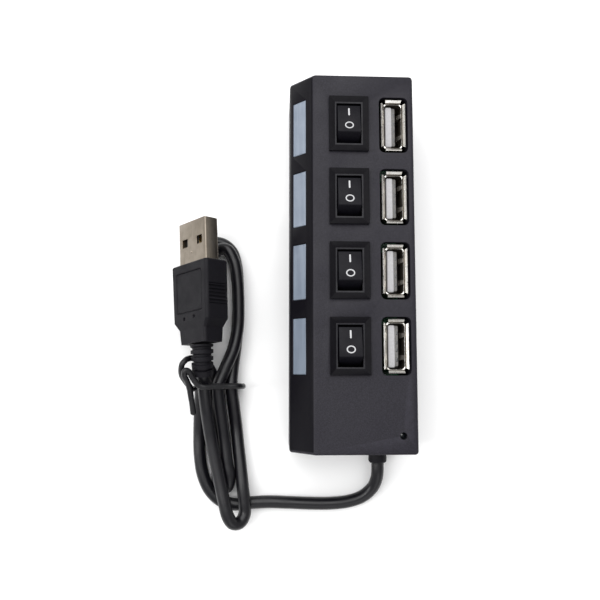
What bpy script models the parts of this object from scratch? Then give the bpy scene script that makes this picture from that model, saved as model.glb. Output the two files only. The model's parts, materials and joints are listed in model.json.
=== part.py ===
"""Four-port USB hub with a rocker switch beside each port, and its captive tied cable.

Frame: metres, +Z up.  The hub lies on its bottom cover, with the origin at the middle of
that face.  X runs across the hub (the ports are on the +X side), and Y runs along it, with
the cable leaving the -Y end.
"""
import math

import bmesh
import bpy
from mathutils import Matrix, Vector

MM = 0.001

# ---- driving dimensions ----
LENGTH = 100.0 * MM             # hub, along Y
WIDTH = 33.0 * MM               # hub, along X
HEIGHT = 25.0 * MM              # hub, table to top face
SLANT_WIDTH = 6.0 * MM          # slanted left face, seen from above
SLANT_DROP = 7.0 * MM           # slanted left face, seen from the side
WALL = 1.8 * MM                 # top case wall
COVER_T = 2.0 * MM              # bottom cover plate
EDGE_ROUND = 0.7 * MM           # fillet on the outer edges
FIT = 0.1 * MM                  # clearance between pieces that fit together
SEAM = 0.15 * MM                # parting line between the case and the cover

ROW_COUNT = 4
ROW_PITCH = 19.64 * MM          # port to port
BOSS_TO_PORT = 0.94 * MM        # screw boss at the +Y end to the first port
PORT_INSET = 5.4 * MM           # column of ports, from the right side
SWITCH_TO_PORT = 12.05 * MM     # column of switches to the column of ports

BEZEL_W, BEZEL_L = 10.5 * MM, 15.0 * MM       # mini rocker switch, size of its frame
BEZEL_RISE = 0.65 * MM          # inner rim of the dished frame above the top face
BEZEL_FOOT = 0.9 * MM           # upright edge of the frame
BEZEL_SIDE, BEZEL_END = 2.0 * MM, 2.1 * MM    # breadth of the frame at its sides and ends
RIM_W, RIM_L = BEZEL_W - 2 * BEZEL_SIDE, BEZEL_L - 2 * BEZEL_END      # opening inside the frame
RIM_T = 0.45 * MM               # flat top of the rim
HOUSING_WALL = 0.9 * MM
HOUSING_DEPTH = 9.6 * MM        # housing below the top face
ROCKER_GAP, ROCKER_END_GAP = 0.2 * MM, 0.25 * MM       # room at each side and at each end
ROCKER_W = RIM_W - 2 * ROCKER_GAP
ROCKER_END_R = RIM_L / 2 - ROCKER_END_GAP     # the ends are arcs about the pivot
ROCKER_HEEL = 1.2 * MM          # marked face stops this far before those ends
ROCKER_RISE = 5.0 * MM          # marked face above the pivot
END_ARC = (-8, 18)              # degrees of those arcs, from level
KEEL = [(3.2 * MM, -1.2 * MM), (1.1 * MM, -2.5 * MM)]  # underside, half length and height
ROCKER_ROUND = 0.2 * MM
PIVOT_DROP = 3.4 * MM           # pivot below the top face
PIN_R = 1.0 * MM                # rocker pivot pins
ROCKER_TILT = math.radians(12)  # each way from level
BLADE_RATIO = -0.4              # contact blade turns this share of the rocker, backwards
BLADE_DROP = 4.1 * MM           # blade pivot below the rocker pivot
BLADE_T = 0.4 * MM
BLADE_W, BLADE_L = 3.4 * MM, 8.2 * MM
TERMINAL_T, TERMINAL_W = 0.6 * MM, 2.8 * MM
TERMINAL_BELOW = 1.2 * MM       # terminal ends below the board
SLOT_GAP = 0.15 * MM            # board slot round a terminal
CONTACT_Y = 3.4 * MM            # fixed contact, from the middle terminal

PORT_W, PORT_L = 5.7 * MM, 13.1 * MM          # receptacle shell
FLARE = 0.7 * MM                # each flared lip reaches out this far
FLANGE_W, FLANGE_L = PORT_W + 2 * FLARE, PORT_L + 2 * FLARE
SHELL_T = 0.35 * MM
LIP_DROP = 1.1 * MM             # height of the flare
LIP_BEND = [(0.35, 0.62), (1.0, 1.0)]         # share of the reach and of the height, up the lip
LIP_SPREAD = 0.55               # lips widen by this share of their reach
CORNER = 0.9 * MM               # open corner between lips
PORT_GAP = 0.3 * MM             # case opening round the lips
OPENING_ROUND = 1.4 * MM        # its corners
BLOCK_T = 3.6 * MM              # insulator at the bottom of a port
TONGUE_ROOM = 1.0 * MM          # end of the tongue to the outside of the shell
TONGUE_T, TONGUE_L = 1.85 * MM, PORT_L - 2 * TONGUE_ROOM
TONGUE_ROUND = 0.25 * MM
TONGUE_SHIFT = -1.05 * MM       # tongue sits to the left of the port's middle
TONGUE_BELOW = 1.7 * MM         # tongue tip below the top face

BOARD_TOP = 10.8 * MM           # circuit board, upper face
BOARD_T = 1.6 * MM
BOARD_GAP = 0.5 * MM            # board edge to case wall
WINDOW_W, WINDOW_L = 4.9 * MM, 14.7 * MM      # frosted window, across the slant and along Y
WINDOW_SHIFT = 0.7 * MM         # its middle below the middle of the slant
WINDOW_RECESS = 0.15 * MM       # window face below the slanted face
LED_R = 1.5 * MM
LED_FLANGE, LED_FLANGE_T = 0.3 * MM, 0.8 * MM
LED_INSET = 4.5 * MM            # lights behind the windows, from the left side
LED_TOP_DROP = 8.8 * MM         # their tops below the top face
PIN_HOLE_R = 0.9 * MM
POWER_LED_GAP = 0.3 * MM        # flange of the power light to the side wall
POWER_LED_INSET = 4.7 * MM      # power light, from the -Y end
CHIP_SHARE, CRYSTAL_SHARE = 0.35, 0.70        # of the free end of the board
CHIP_LEFT, CAPACITOR_RIGHT = 3.5 * MM, 5.2 * MM        # their middles, from the column of switches
CHIP_ROUND = 0.15 * MM
CHIP = (10.0 * MM, 4.0 * MM, 1.5 * MM)        # across, along and up
CRYSTAL = (10.6 * MM, 4.6 * MM, 3.4 * MM)
CAPACITOR_R, CAPACITOR_H = 2.0 * MM, 5.5 * MM
CAPACITOR_GROOVE = (0.7 * MM, 1.0 * MM, 1.3 * MM)      # heights of the pinch near its foot

BOSS_R = 2.2 * MM
BOSS_TOP = 16.0 * MM
SCREW_R, SCREW_HEAD_R = 1.0 * MM, 1.9 * MM
SCREW_HEAD_T = 1.1 * MM
SCREW_LENGTH, SCREW_TIP = 8.0 * MM, 1.0 * MM
SCREW_ROUND = 0.25 * MM
BOSS_INSET = 3.8 * MM           # boss centre from the outer faces
LOW_BOSS_INSET = 13.4 * MM      # the one boss that clears the power light, from the -Y end

CABLE_D = 3.5 * MM
CABLE_INSET = 7.4 * MM          # cable, from the right side
COLLAR_WALL = 0.85 * MM
COLLAR_R = CABLE_D / 2 + COLLAR_WALL
COLLAR_WAIST = 0.3 * MM         # the collar is this much slimmer in the end wall
COLLAR_STEP = 0.15 * MM
COLLAR_FLANGE_R, COLLAR_FLANGE_T = COLLAR_R + COLLAR_STEP, 1.4 * MM   # flange inside the end wall
COLLAR_LENGTH = 4.6 * MM
COLLAR_ROUND = 0.4 * MM

PLUG_AT = Vector((-41.1, 0.5, 12.4)) * MM     # middle of the overmould's front face
PLUG_TURN = (math.radians(-4), math.radians(-47), math.radians(3))
PLUG_SHELL_W, PLUG_SHELL_T = 12.0 * MM, 4.5 * MM
PLUG_SHELL_OUT = 12.0 * MM      # shell outside the overmould
PLUG_SHELL_IN = 5.0 * MM        # shell inside the overmould
OVERMOULD_W, OVERMOULD_T = 15.8 * MM, 7.6 * MM
OVERMOULD_BODY = 16.0 * MM      # full-width stretch
OVERMOULD_NECK_AT = 18.2 * MM   # where the sloped shoulders end
OVERMOULD_LENGTH = 22.0 * MM
NECK_W, NECK_T = 11.4 * MM, 6.6 * MM
OVERMOULD_ROUND = 0.9 * MM
OVERMOULD_BEVEL = 0.5 * MM      # front rim of the grip
OVERMOULD_TAPER = 0.8 * MM      # the grip narrows by this much toward its shoulders
PLUG_SHELL_ROUND = 0.5 * MM
PLUG_WINDOW_X = 3.2 * MM        # two windows in each wide face of the shell
PLUG_WINDOW_W = 2.4 * MM
PLUG_WINDOW_Y = (5.0 * MM, 7.3 * MM)
INSULATOR_SUNK = 0.4 * MM

# route of the free cable, from the collar to the tied bundle, in millimetres
CABLE_ROUTE = [
    (9.1, -55.0, 5.0), (9.1, -57.0, 4.8), (8.9, -59.3, 3.9), (7.9, -61.9, 2.7), (5.2, -64.4, 1.85),
    (1.0, -65.8, 1.75), (-4.5, -66.3, 1.75), (-10.5, -66.2, 1.75), (-16.5, -65.9, 1.75),
    (-22.0, -65.7, 1.75), (-26.2, -65.9, 1.75),
]
# tied bundle, from its top loops to its bottom fold, in millimetres:
# y, left x, right x, underside, top at the left, top at the right
BUNDLE_STATIONS = [
    (10.2, -38.6, -35.6, 0.5, 2.9, 2.9), (9.2, -41.2, -33.2, 0.1, 3.5, 3.5),
    (5.0, -44.6, -29.8, 0.0, 3.5, 5.4), (-2.0, -45.1, -28.6, 0.0, 3.5, 7.0),
    (-14.0, -45.1, -28.5, 0.0, 3.6, 7.0), (-20.0, -44.4, -29.2, 0.0, 5.2, 7.6),
    (-25.0, -43.2, -30.0, 0.6, 7.6, 8.3), (-29.4, -42.9, -30.4, 1.5, 8.4, 9.2),
    (-30.8, -42.7, -30.6, 1.9, 11.6, 9.6), (-31.6, -42.5, -30.6, 2.1, 12.6, 9.8),
    (-34.6, -42.5, -30.6, 2.1, 12.2, 9.6), (-38.0, -42.8, -30.0, 1.0, 11.0, 8.8),
    (-44.0, -43.0, -29.2, 0.1, 10.0, 7.8), (-52.0, -42.8, -28.1, 0.0, 9.6, 7.2),
    (-58.0, -41.9, -27.2, 0.0, 9.6, 7.2), (-63.0, -39.4, -26.7, 0.0, 9.9, 7.6),
    (-67.0, -36.4, -26.6, 0.3, 9.8, 8.0), (-70.4, -33.8, -27.4, 2.6, 9.0, 8.0),
    (-71.8, -31.8, -29.0, 4.2, 8.4, 7.8),
]
STRAIN_RELIEF_R, STRAIN_RELIEF_TAPER = 3.1 * MM, 0.3 * MM
STRAIN_RELIEF_GROOVE = 0.55 * MM
STRAIN_RELIEF_ROUTE = [         # from the overmould to the cable, in millimetres
    (-39.94, -21.75, 13.96), (-39.8, -24.0, 14.0), (-39.7, -26.4, 13.7), (-39.62, -29.7, 12.55),
]
TIE_D = 1.6 * MM
TIE_ROUTE = [                   # coated wire tie, from its curled end to its tail, in millimetres
    (-41.6, -25.2, 10.2), (-43.2, -25.4, 12.3), (-44.1, -25.9, 14.4), (-44.9, -26.9, 15.0),
    (-45.3, -28.5, 14.0), (-45.3, -30.0, 12.3), (-44.6, -31.6, 10.0), (-43.7, -33.1, 7.2),
    (-43.5, -33.9, 4.2), (-42.5, -33.8, 1.8), (-40.0, -33.5, 0.95), (-35.0, -33.3, 0.95),
    (-31.0, -33.3, 1.15), (-29.4, -33.2, 2.6), (-29.0, -33.1, 5.6), (-29.2, -33.05, 8.8),
    (-30.4, -32.9, 10.8), (-33.2, -33.0, 11.8), (-36.6, -33.0, 13.2), (-38.9, -33.1, 14.2),
    (-40.4, -32.7, 14.5), (-41.4, -31.7, 14.9), (-42.3, -30.3, 15.3), (-43.1, -28.9, 15.8),
    (-44.0, -28.7, 16.2), (-44.2, -30.1, 15.6), (-43.6, -31.8, 14.0), (-43.1, -33.6, 12.8),
    (-42.8, -35.7, 12.1), (-42.4, -38.3, 11.6), (-42.1, -40.8, 11.1),
]


def make_collection(name):
    """A new collection linked to the scene."""
    collection = bpy.data.collections.new(name)
    bpy.context.scene.collection.children.link(collection)
    return collection


for old in list(bpy.data.objects):
    bpy.data.objects.remove(old, do_unlink=True)
PARTS = make_collection("usb_hub")
CUTTERS = make_collection("cutters")


def make_material(name, colour, roughness, metallic=0.0):
    """A plain Principled material."""
    material = bpy.data.materials.new(name)
    material.use_nodes = True
    shader = material.node_tree.nodes["Principled BSDF"]
    shader.inputs["Base Color"].default_value = (*colour, 1.0)
    shader.inputs["Roughness"].default_value = roughness
    shader.inputs["Metallic"].default_value = metallic
    material.diffuse_color = (*colour, 1.0)
    return material


CASE_BLACK = make_material("case_black", (0.045, 0.042, 0.050), 0.55)
SWITCH_BLACK = make_material("switch_black", (0.018, 0.018, 0.022), 0.35)
STEEL = make_material("plated_steel", (0.62, 0.60, 0.57), 0.28, 1.0)
BRASS = make_material("brass", (0.72, 0.55, 0.28), 0.30, 1.0)
WHITE_PLASTIC = make_material("white_plastic", (0.78, 0.77, 0.74), 0.5)
WINDOW_GREY = make_material("frosted_window", (0.42, 0.48, 0.53), 0.5)
BOARD_GREEN = make_material("board_green", (0.02, 0.16, 0.07), 0.45)
CHIP_BLACK = make_material("chip_black", (0.02, 0.02, 0.02), 0.6)
LED_CLEAR = make_material("led_blue", (0.25, 0.42, 0.75), 0.15)
CABLE_BLACK = make_material("cable_black", (0.016, 0.016, 0.018), 0.3)
PLUG_BLACK = make_material("plug_black", (0.035, 0.035, 0.038), 0.6)


# ---- building helpers ----

def finish_mesh(name, bm, material=None, collection=None):
    """Turn a bmesh into a named object."""
    mesh = bpy.data.meshes.new(name)
    bmesh.ops.recalc_face_normals(bm, faces=bm.faces)
    bm.to_mesh(mesh)
    bm.free()
    thing = bpy.data.objects.new(name, mesh)
    (collection or PARTS).objects.link(thing)
    if material:
        mesh.materials.append(material)
    return thing


def box(name, low, high, material=None, collection=None):
    """A box from its lowest and highest corners."""
    bm = bmesh.new()
    bmesh.ops.create_cube(bm, size=1.0)
    size = [b - a for a, b in zip(low, high)]
    middle = Vector([(a + b) / 2 for a, b in zip(low, high)])
    bmesh.ops.scale(bm, vec=size, verts=bm.verts)
    bmesh.ops.translate(bm, vec=middle, verts=bm.verts)
    return finish_mesh(name, bm, material, collection)


def cylinder(name, radius, start, end, material=None, collection=None, segments=32, radius_end=None):
    """A cylinder or cone between two points."""
    start, end = Vector(start), Vector(end)
    bm = bmesh.new()
    bmesh.ops.create_cone(bm, cap_ends=True, segments=segments, radius1=radius,
                          radius2=radius if radius_end is None else radius_end,
                          depth=(end - start).length)
    turn = (end - start).to_track_quat("Z", "Y").to_matrix().to_4x4()
    bmesh.ops.transform(bm, matrix=Matrix.Translation((start + end) / 2) @ turn, verts=bm.verts)
    return finish_mesh(name, bm, material, collection)


def plate(name, outline, thickness, material=None, collection=None, upright=None):
    """A flat outline as thick as told: in XY from z = 0 up, or in the plane that upright names."""
    curve = bpy.data.curves.new(name, "CURVE")
    curve.dimensions = "2D"
    curve.fill_mode = "BOTH"
    curve.extrude = thickness / 2
    spline = curve.splines.new("POLY")
    spline.points.add(len(outline) - 1)
    for point, place in zip(spline.points, outline):
        point.co = (place[0], place[1], 0.0, 1.0)
    spline.use_cyclic_u = True
    stand_in = bpy.data.objects.new(name + "_curve", curve)
    PARTS.objects.link(stand_in)
    if upright == "XZ":                      # outline y becomes world z, extruded both ways along Y
        stand_in.rotation_euler = (math.pi / 2, 0, 0)
    elif upright == "YZ":                    # outline x becomes world y, extruded both ways along X
        stand_in.rotation_euler = (math.pi / 2, 0, math.pi / 2)
    else:
        stand_in.location.z = thickness / 2
    return curve_to_object(stand_in, name, material, collection)


def curve_to_object(stand_in, name, material, collection=None):
    """Swap a curve object for its evaluated, welded mesh."""
    bpy.context.view_layer.update()
    evaluated = stand_in.evaluated_get(bpy.context.evaluated_depsgraph_get())
    mesh = bpy.data.meshes.new_from_object(evaluated)
    mesh.transform(stand_in.matrix_world)
    bm = bmesh.new()
    bm.from_mesh(mesh)
    bmesh.ops.remove_doubles(bm, verts=bm.verts, dist=0.00001)
    bpy.data.objects.remove(stand_in, do_unlink=True)
    bpy.data.meshes.remove(mesh)
    return finish_mesh(name, bm, material, collection)


def arc(centre, radius, start, end, steps):
    """Points of an arc, angles in degrees, both ends included."""
    angles = [math.radians(start + (end - start) * i / steps) for i in range(steps + 1)]
    return [(centre[0] + radius * math.cos(a), centre[1] + radius * math.sin(a)) for a in angles]


def rounded_rectangle(width, length, radius, steps=4):
    """Outline of a rectangle with round corners, centred on the origin."""
    x, y = width / 2 - radius, length / 2 - radius
    return (arc((x, y), radius, 0, 90, steps) + arc((-x, y), radius, 90, 180, steps)
            + arc((-x, -y), radius, 180, 270, steps) + arc((x, -y), radius, 270, 360, steps))


def inset(outline, distance):
    """A convex outline moved inwards by the same distance on every side."""
    count = len(outline)
    lines = []
    for i in range(count):
        a, b = Vector(outline[i]), Vector(outline[(i + 1) % count])
        along = (b - a).normalized()
        inward = Vector((-along.y, along.x))
        lines.append((a + inward * distance, along))
    result = []
    for i in range(count):
        (p, u), (q, v) = lines[i - 1], lines[i]
        reach = ((q - p).x * v.y - (q - p).y * v.x) / (u.x * v.y - u.y * v.x)
        result.append(tuple(p + u * reach))
    return result


def moved(thing, offset):
    """Shift an object's mesh."""
    thing.data.transform(Matrix.Translation(offset))
    return thing


def apply_boolean(target, tool, operation):
    """Join or cut with another object, live, with the exact solver."""
    modifier = target.modifiers.new(tool.name, "BOOLEAN")
    modifier.operation = operation
    modifier.object = tool
    modifier.solver = "EXACT"
    tool.hide_render = True
    tool.display_type = "WIRE"


def cut(target, *tools):
    """Cut each tool out of the target."""
    for tool in tools:
        apply_boolean(target, tool, "DIFFERENCE")


def join(target, *tools):
    """Add each tool to the target."""
    for tool in tools:
        apply_boolean(target, tool, "UNION")


def round_edges(thing, width, segments=2, angle=math.radians(30)):
    """A fillet on the sharp edges."""
    bevel = thing.modifiers.new("round_edges", "BEVEL")
    bevel.width = width
    bevel.segments = segments
    bevel.limit_method = "ANGLE"
    bevel.angle_limit = angle
    return bevel


def turned(name, profile, material, steps=24):
    """A turned piece about Z, from a profile of (radius, height) down its outer side."""
    bm = bmesh.new()
    verts = [bm.verts.new((r, 0, z)) for r, z in profile]
    for a, b in zip(verts, verts[1:]):
        bm.edges.new((a, b))
    thing = finish_mesh(name, bm, material)
    screw = thing.modifiers.new("turn", "SCREW")
    screw.angle = 2 * math.pi
    screw.steps = steps
    screw.render_steps = steps
    screw.use_merge_vertices = True
    screw.merge_threshold = 0.00001
    return thing


def smooth_route(points, spacing):
    """Points on a smooth curve through the route's own points, about one spacing apart."""
    places = [Vector(p) * MM for p in points]
    places = [2 * places[0] - places[1]] + places + [2 * places[-1] - places[-2]]
    result = []
    for p0, p1, p2, p3 in zip(places, places[1:], places[2:], places[3:]):
        steps = max(1, round((p2 - p1).length / spacing))
        for i in range(steps):
            t = i / steps
            result.append(0.5 * (2 * p1 + (p2 - p0) * t + (2 * p0 - 5 * p1 + 4 * p2 - p3) * t ** 2
                                 + (3 * p1 - p0 - 3 * p2 + p3) * t ** 3))
    return result + [places[-2]]


def tube(name, points, diameter, material, sides_resolution=2):
    """A round tube along points, with filled caps."""
    curve = bpy.data.curves.new(name, "CURVE")
    curve.dimensions = "3D"
    curve.bevel_depth = diameter / 2
    curve.bevel_resolution = sides_resolution
    curve.use_fill_caps = True
    spline = curve.splines.new("POLY")
    spline.points.add(len(points) - 1)
    for point, place in zip(spline.points, points):
        point.co = (*place, 1.0)
    stand_in = bpy.data.objects.new(name + "_curve", curve)
    PARTS.objects.link(stand_in)
    return curve_to_object(stand_in, name, material)


def loft(name, rings, material):
    """A closed skin through rings of equal point counts, with flat ends."""
    bm = bmesh.new()
    loops = [[bm.verts.new(place) for place in ring] for ring in rings]
    count = len(loops[0])
    for lower, upper in zip(loops, loops[1:]):
        for i in range(count):
            j = (i + 1) % count
            bm.faces.new((lower[i], lower[j], upper[j], upper[i]))
    bm.faces.new(loops[0])
    bm.faces.new(loops[-1])
    return finish_mesh(name, bm, material)


def row_y(row):
    """Y of a row of ports and switches; row 0 is the one at the +Y end."""
    return FIRST_ROW_Y - row * ROW_PITCH


# ---- places that several pieces share ----
LEFT, RIGHT = -WIDTH / 2, WIDTH / 2
PORT_X = RIGHT - PORT_INSET
SWITCH_X = PORT_X - SWITCH_TO_PORT
FIRST_ROW_Y = LENGTH / 2 - BOSS_INSET - BOSS_R - BOSS_TO_PORT - PORT_L / 2
LED_X = LEFT + LED_INSET
POWER_LED_X = RIGHT - WALL - POWER_LED_GAP - LED_FLANGE - LED_R
POWER_LED_Y = -LENGTH / 2 + POWER_LED_INSET
CABLE_X = RIGHT - CABLE_INSET
CASE_BOTTOM = COVER_T + SEAM
CABLE_Z = CASE_BOTTOM + COLLAR_FLANGE_R + FIT
BOARD_BOTTOM = BOARD_TOP - BOARD_T
PIVOT_Z = HEIGHT - PIVOT_DROP
BLADE_Z = PIVOT_Z - BLADE_DROP
BLADE_TILT = -BLADE_RATIO * ROCKER_TILT
HOUSING_W, HOUSING_L = RIM_W + 2 * HOUSING_WALL, RIM_L + 2 * HOUSING_WALL
HOUSING_BOTTOM = HEIGHT - HOUSING_DEPTH
BOSSES = [(LEFT + BOSS_INSET, LENGTH / 2 - BOSS_INSET), (RIGHT - BOSS_INSET, LENGTH / 2 - BOSS_INSET),
          (LEFT + BOSS_INSET, -LENGTH / 2 + BOSS_INSET), (RIGHT - BOSS_INSET, -LENGTH / 2 + LOW_BOSS_INSET)]
CASE_OUTLINE = [(LEFT, CASE_BOTTOM), (RIGHT, CASE_BOTTOM), (RIGHT, HEIGHT),
                (LEFT + SLANT_WIDTH, HEIGHT), (LEFT, HEIGHT - SLANT_DROP)]
SLANT_TOP = Vector((LEFT + SLANT_WIDTH, 0, HEIGHT))
SLANT_LOW = Vector((LEFT, 0, HEIGHT - SLANT_DROP))
SLANT_ALONG = (SLANT_LOW - SLANT_TOP).normalized()
SLANT_OUT = Vector((SLANT_ALONG.z, 0, -SLANT_ALONG.x))
WINDOW_MIDDLE = (SLANT_TOP + SLANT_LOW) / 2 + SLANT_ALONG * WINDOW_SHIFT


def slant_matrix(y):
    """Local X up the slant, local Y along the hub, local Z out of the slanted face."""
    turn = Matrix((-SLANT_ALONG, Vector((0, 1, 0)), SLANT_OUT)).transposed()
    return Matrix.Translation(WINDOW_MIDDLE + Vector((0, y, 0))) @ turn.to_4x4()


# ---- case ----

def make_top_case():
    """The upper shell: pentagonal section, four bosses, and every opening."""
    case = plate("top_case", CASE_OUTLINE, LENGTH, CASE_BLACK, upright="XZ")
    round_edges(case, EDGE_ROUND)
    hollow = inset(CASE_OUTLINE, WALL)
    hollow[0], hollow[1] = (hollow[0][0], 0.0), (hollow[1][0], 0.0)
    cut(case, plate("case_hollow", hollow, LENGTH - 2 * WALL, collection=CUTTERS, upright="XZ"))
    for number, (x, y) in enumerate(BOSSES, 1):
        join(case, cylinder(f"boss_{number}", BOSS_R, (x, y, CASE_BOTTOM), (x, y, BOSS_TOP),
                            collection=CUTTERS, segments=20))
        pilot = cylinder(f"pilot_{number}", SCREW_R + FIT, (x, y, 0),
                         (x, y, CASE_BOTTOM + SCREW_LENGTH), collection=CUTTERS, segments=16)
        cut(case, pilot)
    for row in range(ROW_COUNT):
        y = row_y(row)
        port = plate(f"port_opening_{row + 1}",
                     rounded_rectangle(FLANGE_W + 2 * PORT_GAP, FLANGE_L + 2 * PORT_GAP, OPENING_ROUND),
                     3 * WALL, collection=CUTTERS)
        moved(port, (PORT_X, y, HEIGHT - 2 * WALL))
        switch = box(f"switch_opening_{row + 1}",
                     (SWITCH_X - HOUSING_W / 2 - FIT, y - HOUSING_L / 2 - FIT, HEIGHT - 2 * WALL),
                     (SWITCH_X + HOUSING_W / 2 + FIT, y + HOUSING_L / 2 + FIT, HEIGHT + WALL),
                     collection=CUTTERS)
        window = box(f"window_opening_{row + 1}",
                     (-WINDOW_W / 2 - FIT, -WINDOW_L / 2 - FIT, -2 * WALL),
                     (WINDOW_W / 2 + FIT, WINDOW_L / 2 + FIT, WALL), collection=CUTTERS)
        window.data.transform(slant_matrix(y))
        cut(case, port, switch, window)
    pin_hole = cylinder("pin_hole", PIN_HOLE_R, (POWER_LED_X, POWER_LED_Y, HEIGHT - 2 * WALL),
                        (POWER_LED_X, POWER_LED_Y, HEIGHT + WALL), collection=CUTTERS, segments=20)
    collar_hole = cylinder("collar_hole", COLLAR_R - COLLAR_WAIST + FIT,
                           (CABLE_X, -LENGTH / 2 - WALL, CABLE_Z),
                           (CABLE_X, -LENGTH / 2 + 2 * WALL, CABLE_Z), collection=CUTTERS, segments=24)
    cut(case, pin_hole, collar_hole)


def make_bottom_cover():
    """The flat cover that closes the case, with a countersunk hole at each boss."""
    cover = plate("bottom_cover", rounded_rectangle(WIDTH, LENGTH, EDGE_ROUND), COVER_T, CASE_BLACK)
    for number, (x, y) in enumerate(BOSSES, 1):
        hole = cylinder(f"cover_hole_{number}", SCREW_R + FIT, (x, y, -COVER_T), (x, y, 2 * COVER_T),
                        collection=CUTTERS, segments=16)
        seat = cylinder(f"cover_seat_{number}", SCREW_HEAD_R + FIT, (x, y, -COVER_T),
                        (x, y, SCREW_HEAD_T + FIT), collection=CUTTERS, segments=24)
        cut(cover, hole, seat)


def make_screws():
    """Four self-tapping screws, from below through the cover into the bosses."""
    for number, (x, y) in enumerate(BOSSES, 1):
        profile = [(0, SCREW_LENGTH), (SCREW_R, SCREW_LENGTH - SCREW_TIP),
                   (SCREW_R, SCREW_HEAD_T), (SCREW_HEAD_R, SCREW_HEAD_T), (SCREW_HEAD_R, FIT + SCREW_ROUND),
                   (SCREW_HEAD_R - SCREW_ROUND, FIT), (0, FIT)]
        screw = turned(f"cover_screw_{number}", profile, STEEL, steps=16)
        screw.location = (x, y, 0)


# ---- circuit board ----

def make_board():
    """The board that carries the ports, switches and lights, with slots for the terminals."""
    edge = WALL + BOARD_GAP
    board = box("circuit_board", (LEFT + edge, -LENGTH / 2 + edge, BOARD_BOTTOM),
                (RIGHT - edge, LENGTH / 2 - edge, BOARD_TOP), BOARD_GREEN)
    reach = BOSS_R + BOARD_GAP
    for number, (x, y) in enumerate(BOSSES, 1):
        out_x = math.copysign(BOSS_INSET, x)
        out_y = math.copysign(BOSS_INSET, y) if abs(y) > LENGTH / 2 - 2 * BOSS_INSET else 0.0
        notch = box(f"board_notch_{number}",
                    (min(x - reach, x + out_x), min(y - reach, y + out_y), BOARD_BOTTOM - BOARD_T),
                    (max(x + reach, x + out_x), max(y + reach, y + out_y), BOARD_TOP + BOARD_T),
                    collection=CUTTERS)
        cut(board, notch)
    for row in range(ROW_COUNT):
        for side, y in (("middle", row_y(row)), ("end", row_y(row) - CONTACT_Y)):
            cut(board, box(f"board_slot_{side}_{row + 1}",
                           (SWITCH_X - TERMINAL_W / 2 - SLOT_GAP, y - TERMINAL_T / 2 - SLOT_GAP,
                            BOARD_BOTTOM - BOARD_T),
                           (SWITCH_X + TERMINAL_W / 2 + SLOT_GAP, y + TERMINAL_T / 2 + SLOT_GAP,
                            BOARD_TOP + BOARD_T), collection=CUTTERS))


def make_board_parts():
    """The hub chip, its crystal and two filter capacitors, in the free end of the board."""
    free_from = row_y(ROW_COUNT - 1) - BEZEL_L / 2
    free_to = -LENGTH / 2 + WALL + BOARD_GAP
    chip_y = free_from + CHIP_SHARE * (free_to - free_from)
    crystal_y = free_from + CRYSTAL_SHARE * (free_to - free_from)
    chip_x, capacitor_x = SWITCH_X - CHIP_LEFT, SWITCH_X + CAPACITOR_RIGHT
    top = BOARD_TOP + FIT
    chip = box("hub_controller_chip", (chip_x - CHIP[0] / 2, chip_y - CHIP[1] / 2, top),
               (chip_x + CHIP[0] / 2, chip_y + CHIP[1] / 2, top + CHIP[2]), CHIP_BLACK)
    round_edges(chip, CHIP_ROUND, 1)
    can = plate("crystal_oscillator", rounded_rectangle(CRYSTAL[0], CRYSTAL[1], CRYSTAL[1] / 2 - CHIP_ROUND),
                CRYSTAL[2], STEEL)
    moved(can, (chip_x, crystal_y, top))
    round_edges(can, 2 * CHIP_ROUND)
    low, pinch, high = CAPACITOR_GROOVE
    for number, y in enumerate((chip_y, crystal_y), 1):
        profile = [(0, CAPACITOR_H), (CAPACITOR_R - CHIP_ROUND, CAPACITOR_H),
                   (CAPACITOR_R, CAPACITOR_H - CHIP_ROUND), (CAPACITOR_R, high),
                   (CAPACITOR_R - CHIP_ROUND, pinch), (CAPACITOR_R, low), (CAPACITOR_R, 0), (0, 0)]
        capacitor = turned(f"filter_capacitor_{number}", profile, CABLE_BLACK, steps=20)
        capacitor.location = (capacitor_x, y, top)


def make_led(name, x, y, base, height):
    """A round light: flange at the base, straight side, domed top."""
    dome = [(LED_R * math.sin(math.radians(a)), height - LED_R + LED_R * math.cos(math.radians(a)))
            for a in range(0, 91, 18)]
    flange = LED_R + LED_FLANGE
    profile = dome + [(LED_R, LED_FLANGE_T), (flange, LED_FLANGE_T), (flange, 0), (0, 0)]
    light = turned(name, profile, LED_CLEAR, steps=20)
    light.location = (x, y, base)


def make_lights():
    """A light behind each window, the windows, and the power light under its pin hole."""
    for row in range(ROW_COUNT):
        y = row_y(row)
        make_led(f"led_{row + 1}", LED_X, y, BOARD_TOP + FIT, HEIGHT - LED_TOP_DROP - BOARD_TOP)
        window = box(f"led_window_{row + 1}", (-WINDOW_W / 2, -WINDOW_L / 2, -WALL),
                     (WINDOW_W / 2, WINDOW_L / 2, -WINDOW_RECESS), WINDOW_GREY)
        window.data.transform(slant_matrix(y))
    make_led("power_led", POWER_LED_X, POWER_LED_Y, BOARD_TOP + FIT, HEIGHT - WALL - BOARD_TOP - 4 * FIT)


# ---- rocker switches ----

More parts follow.
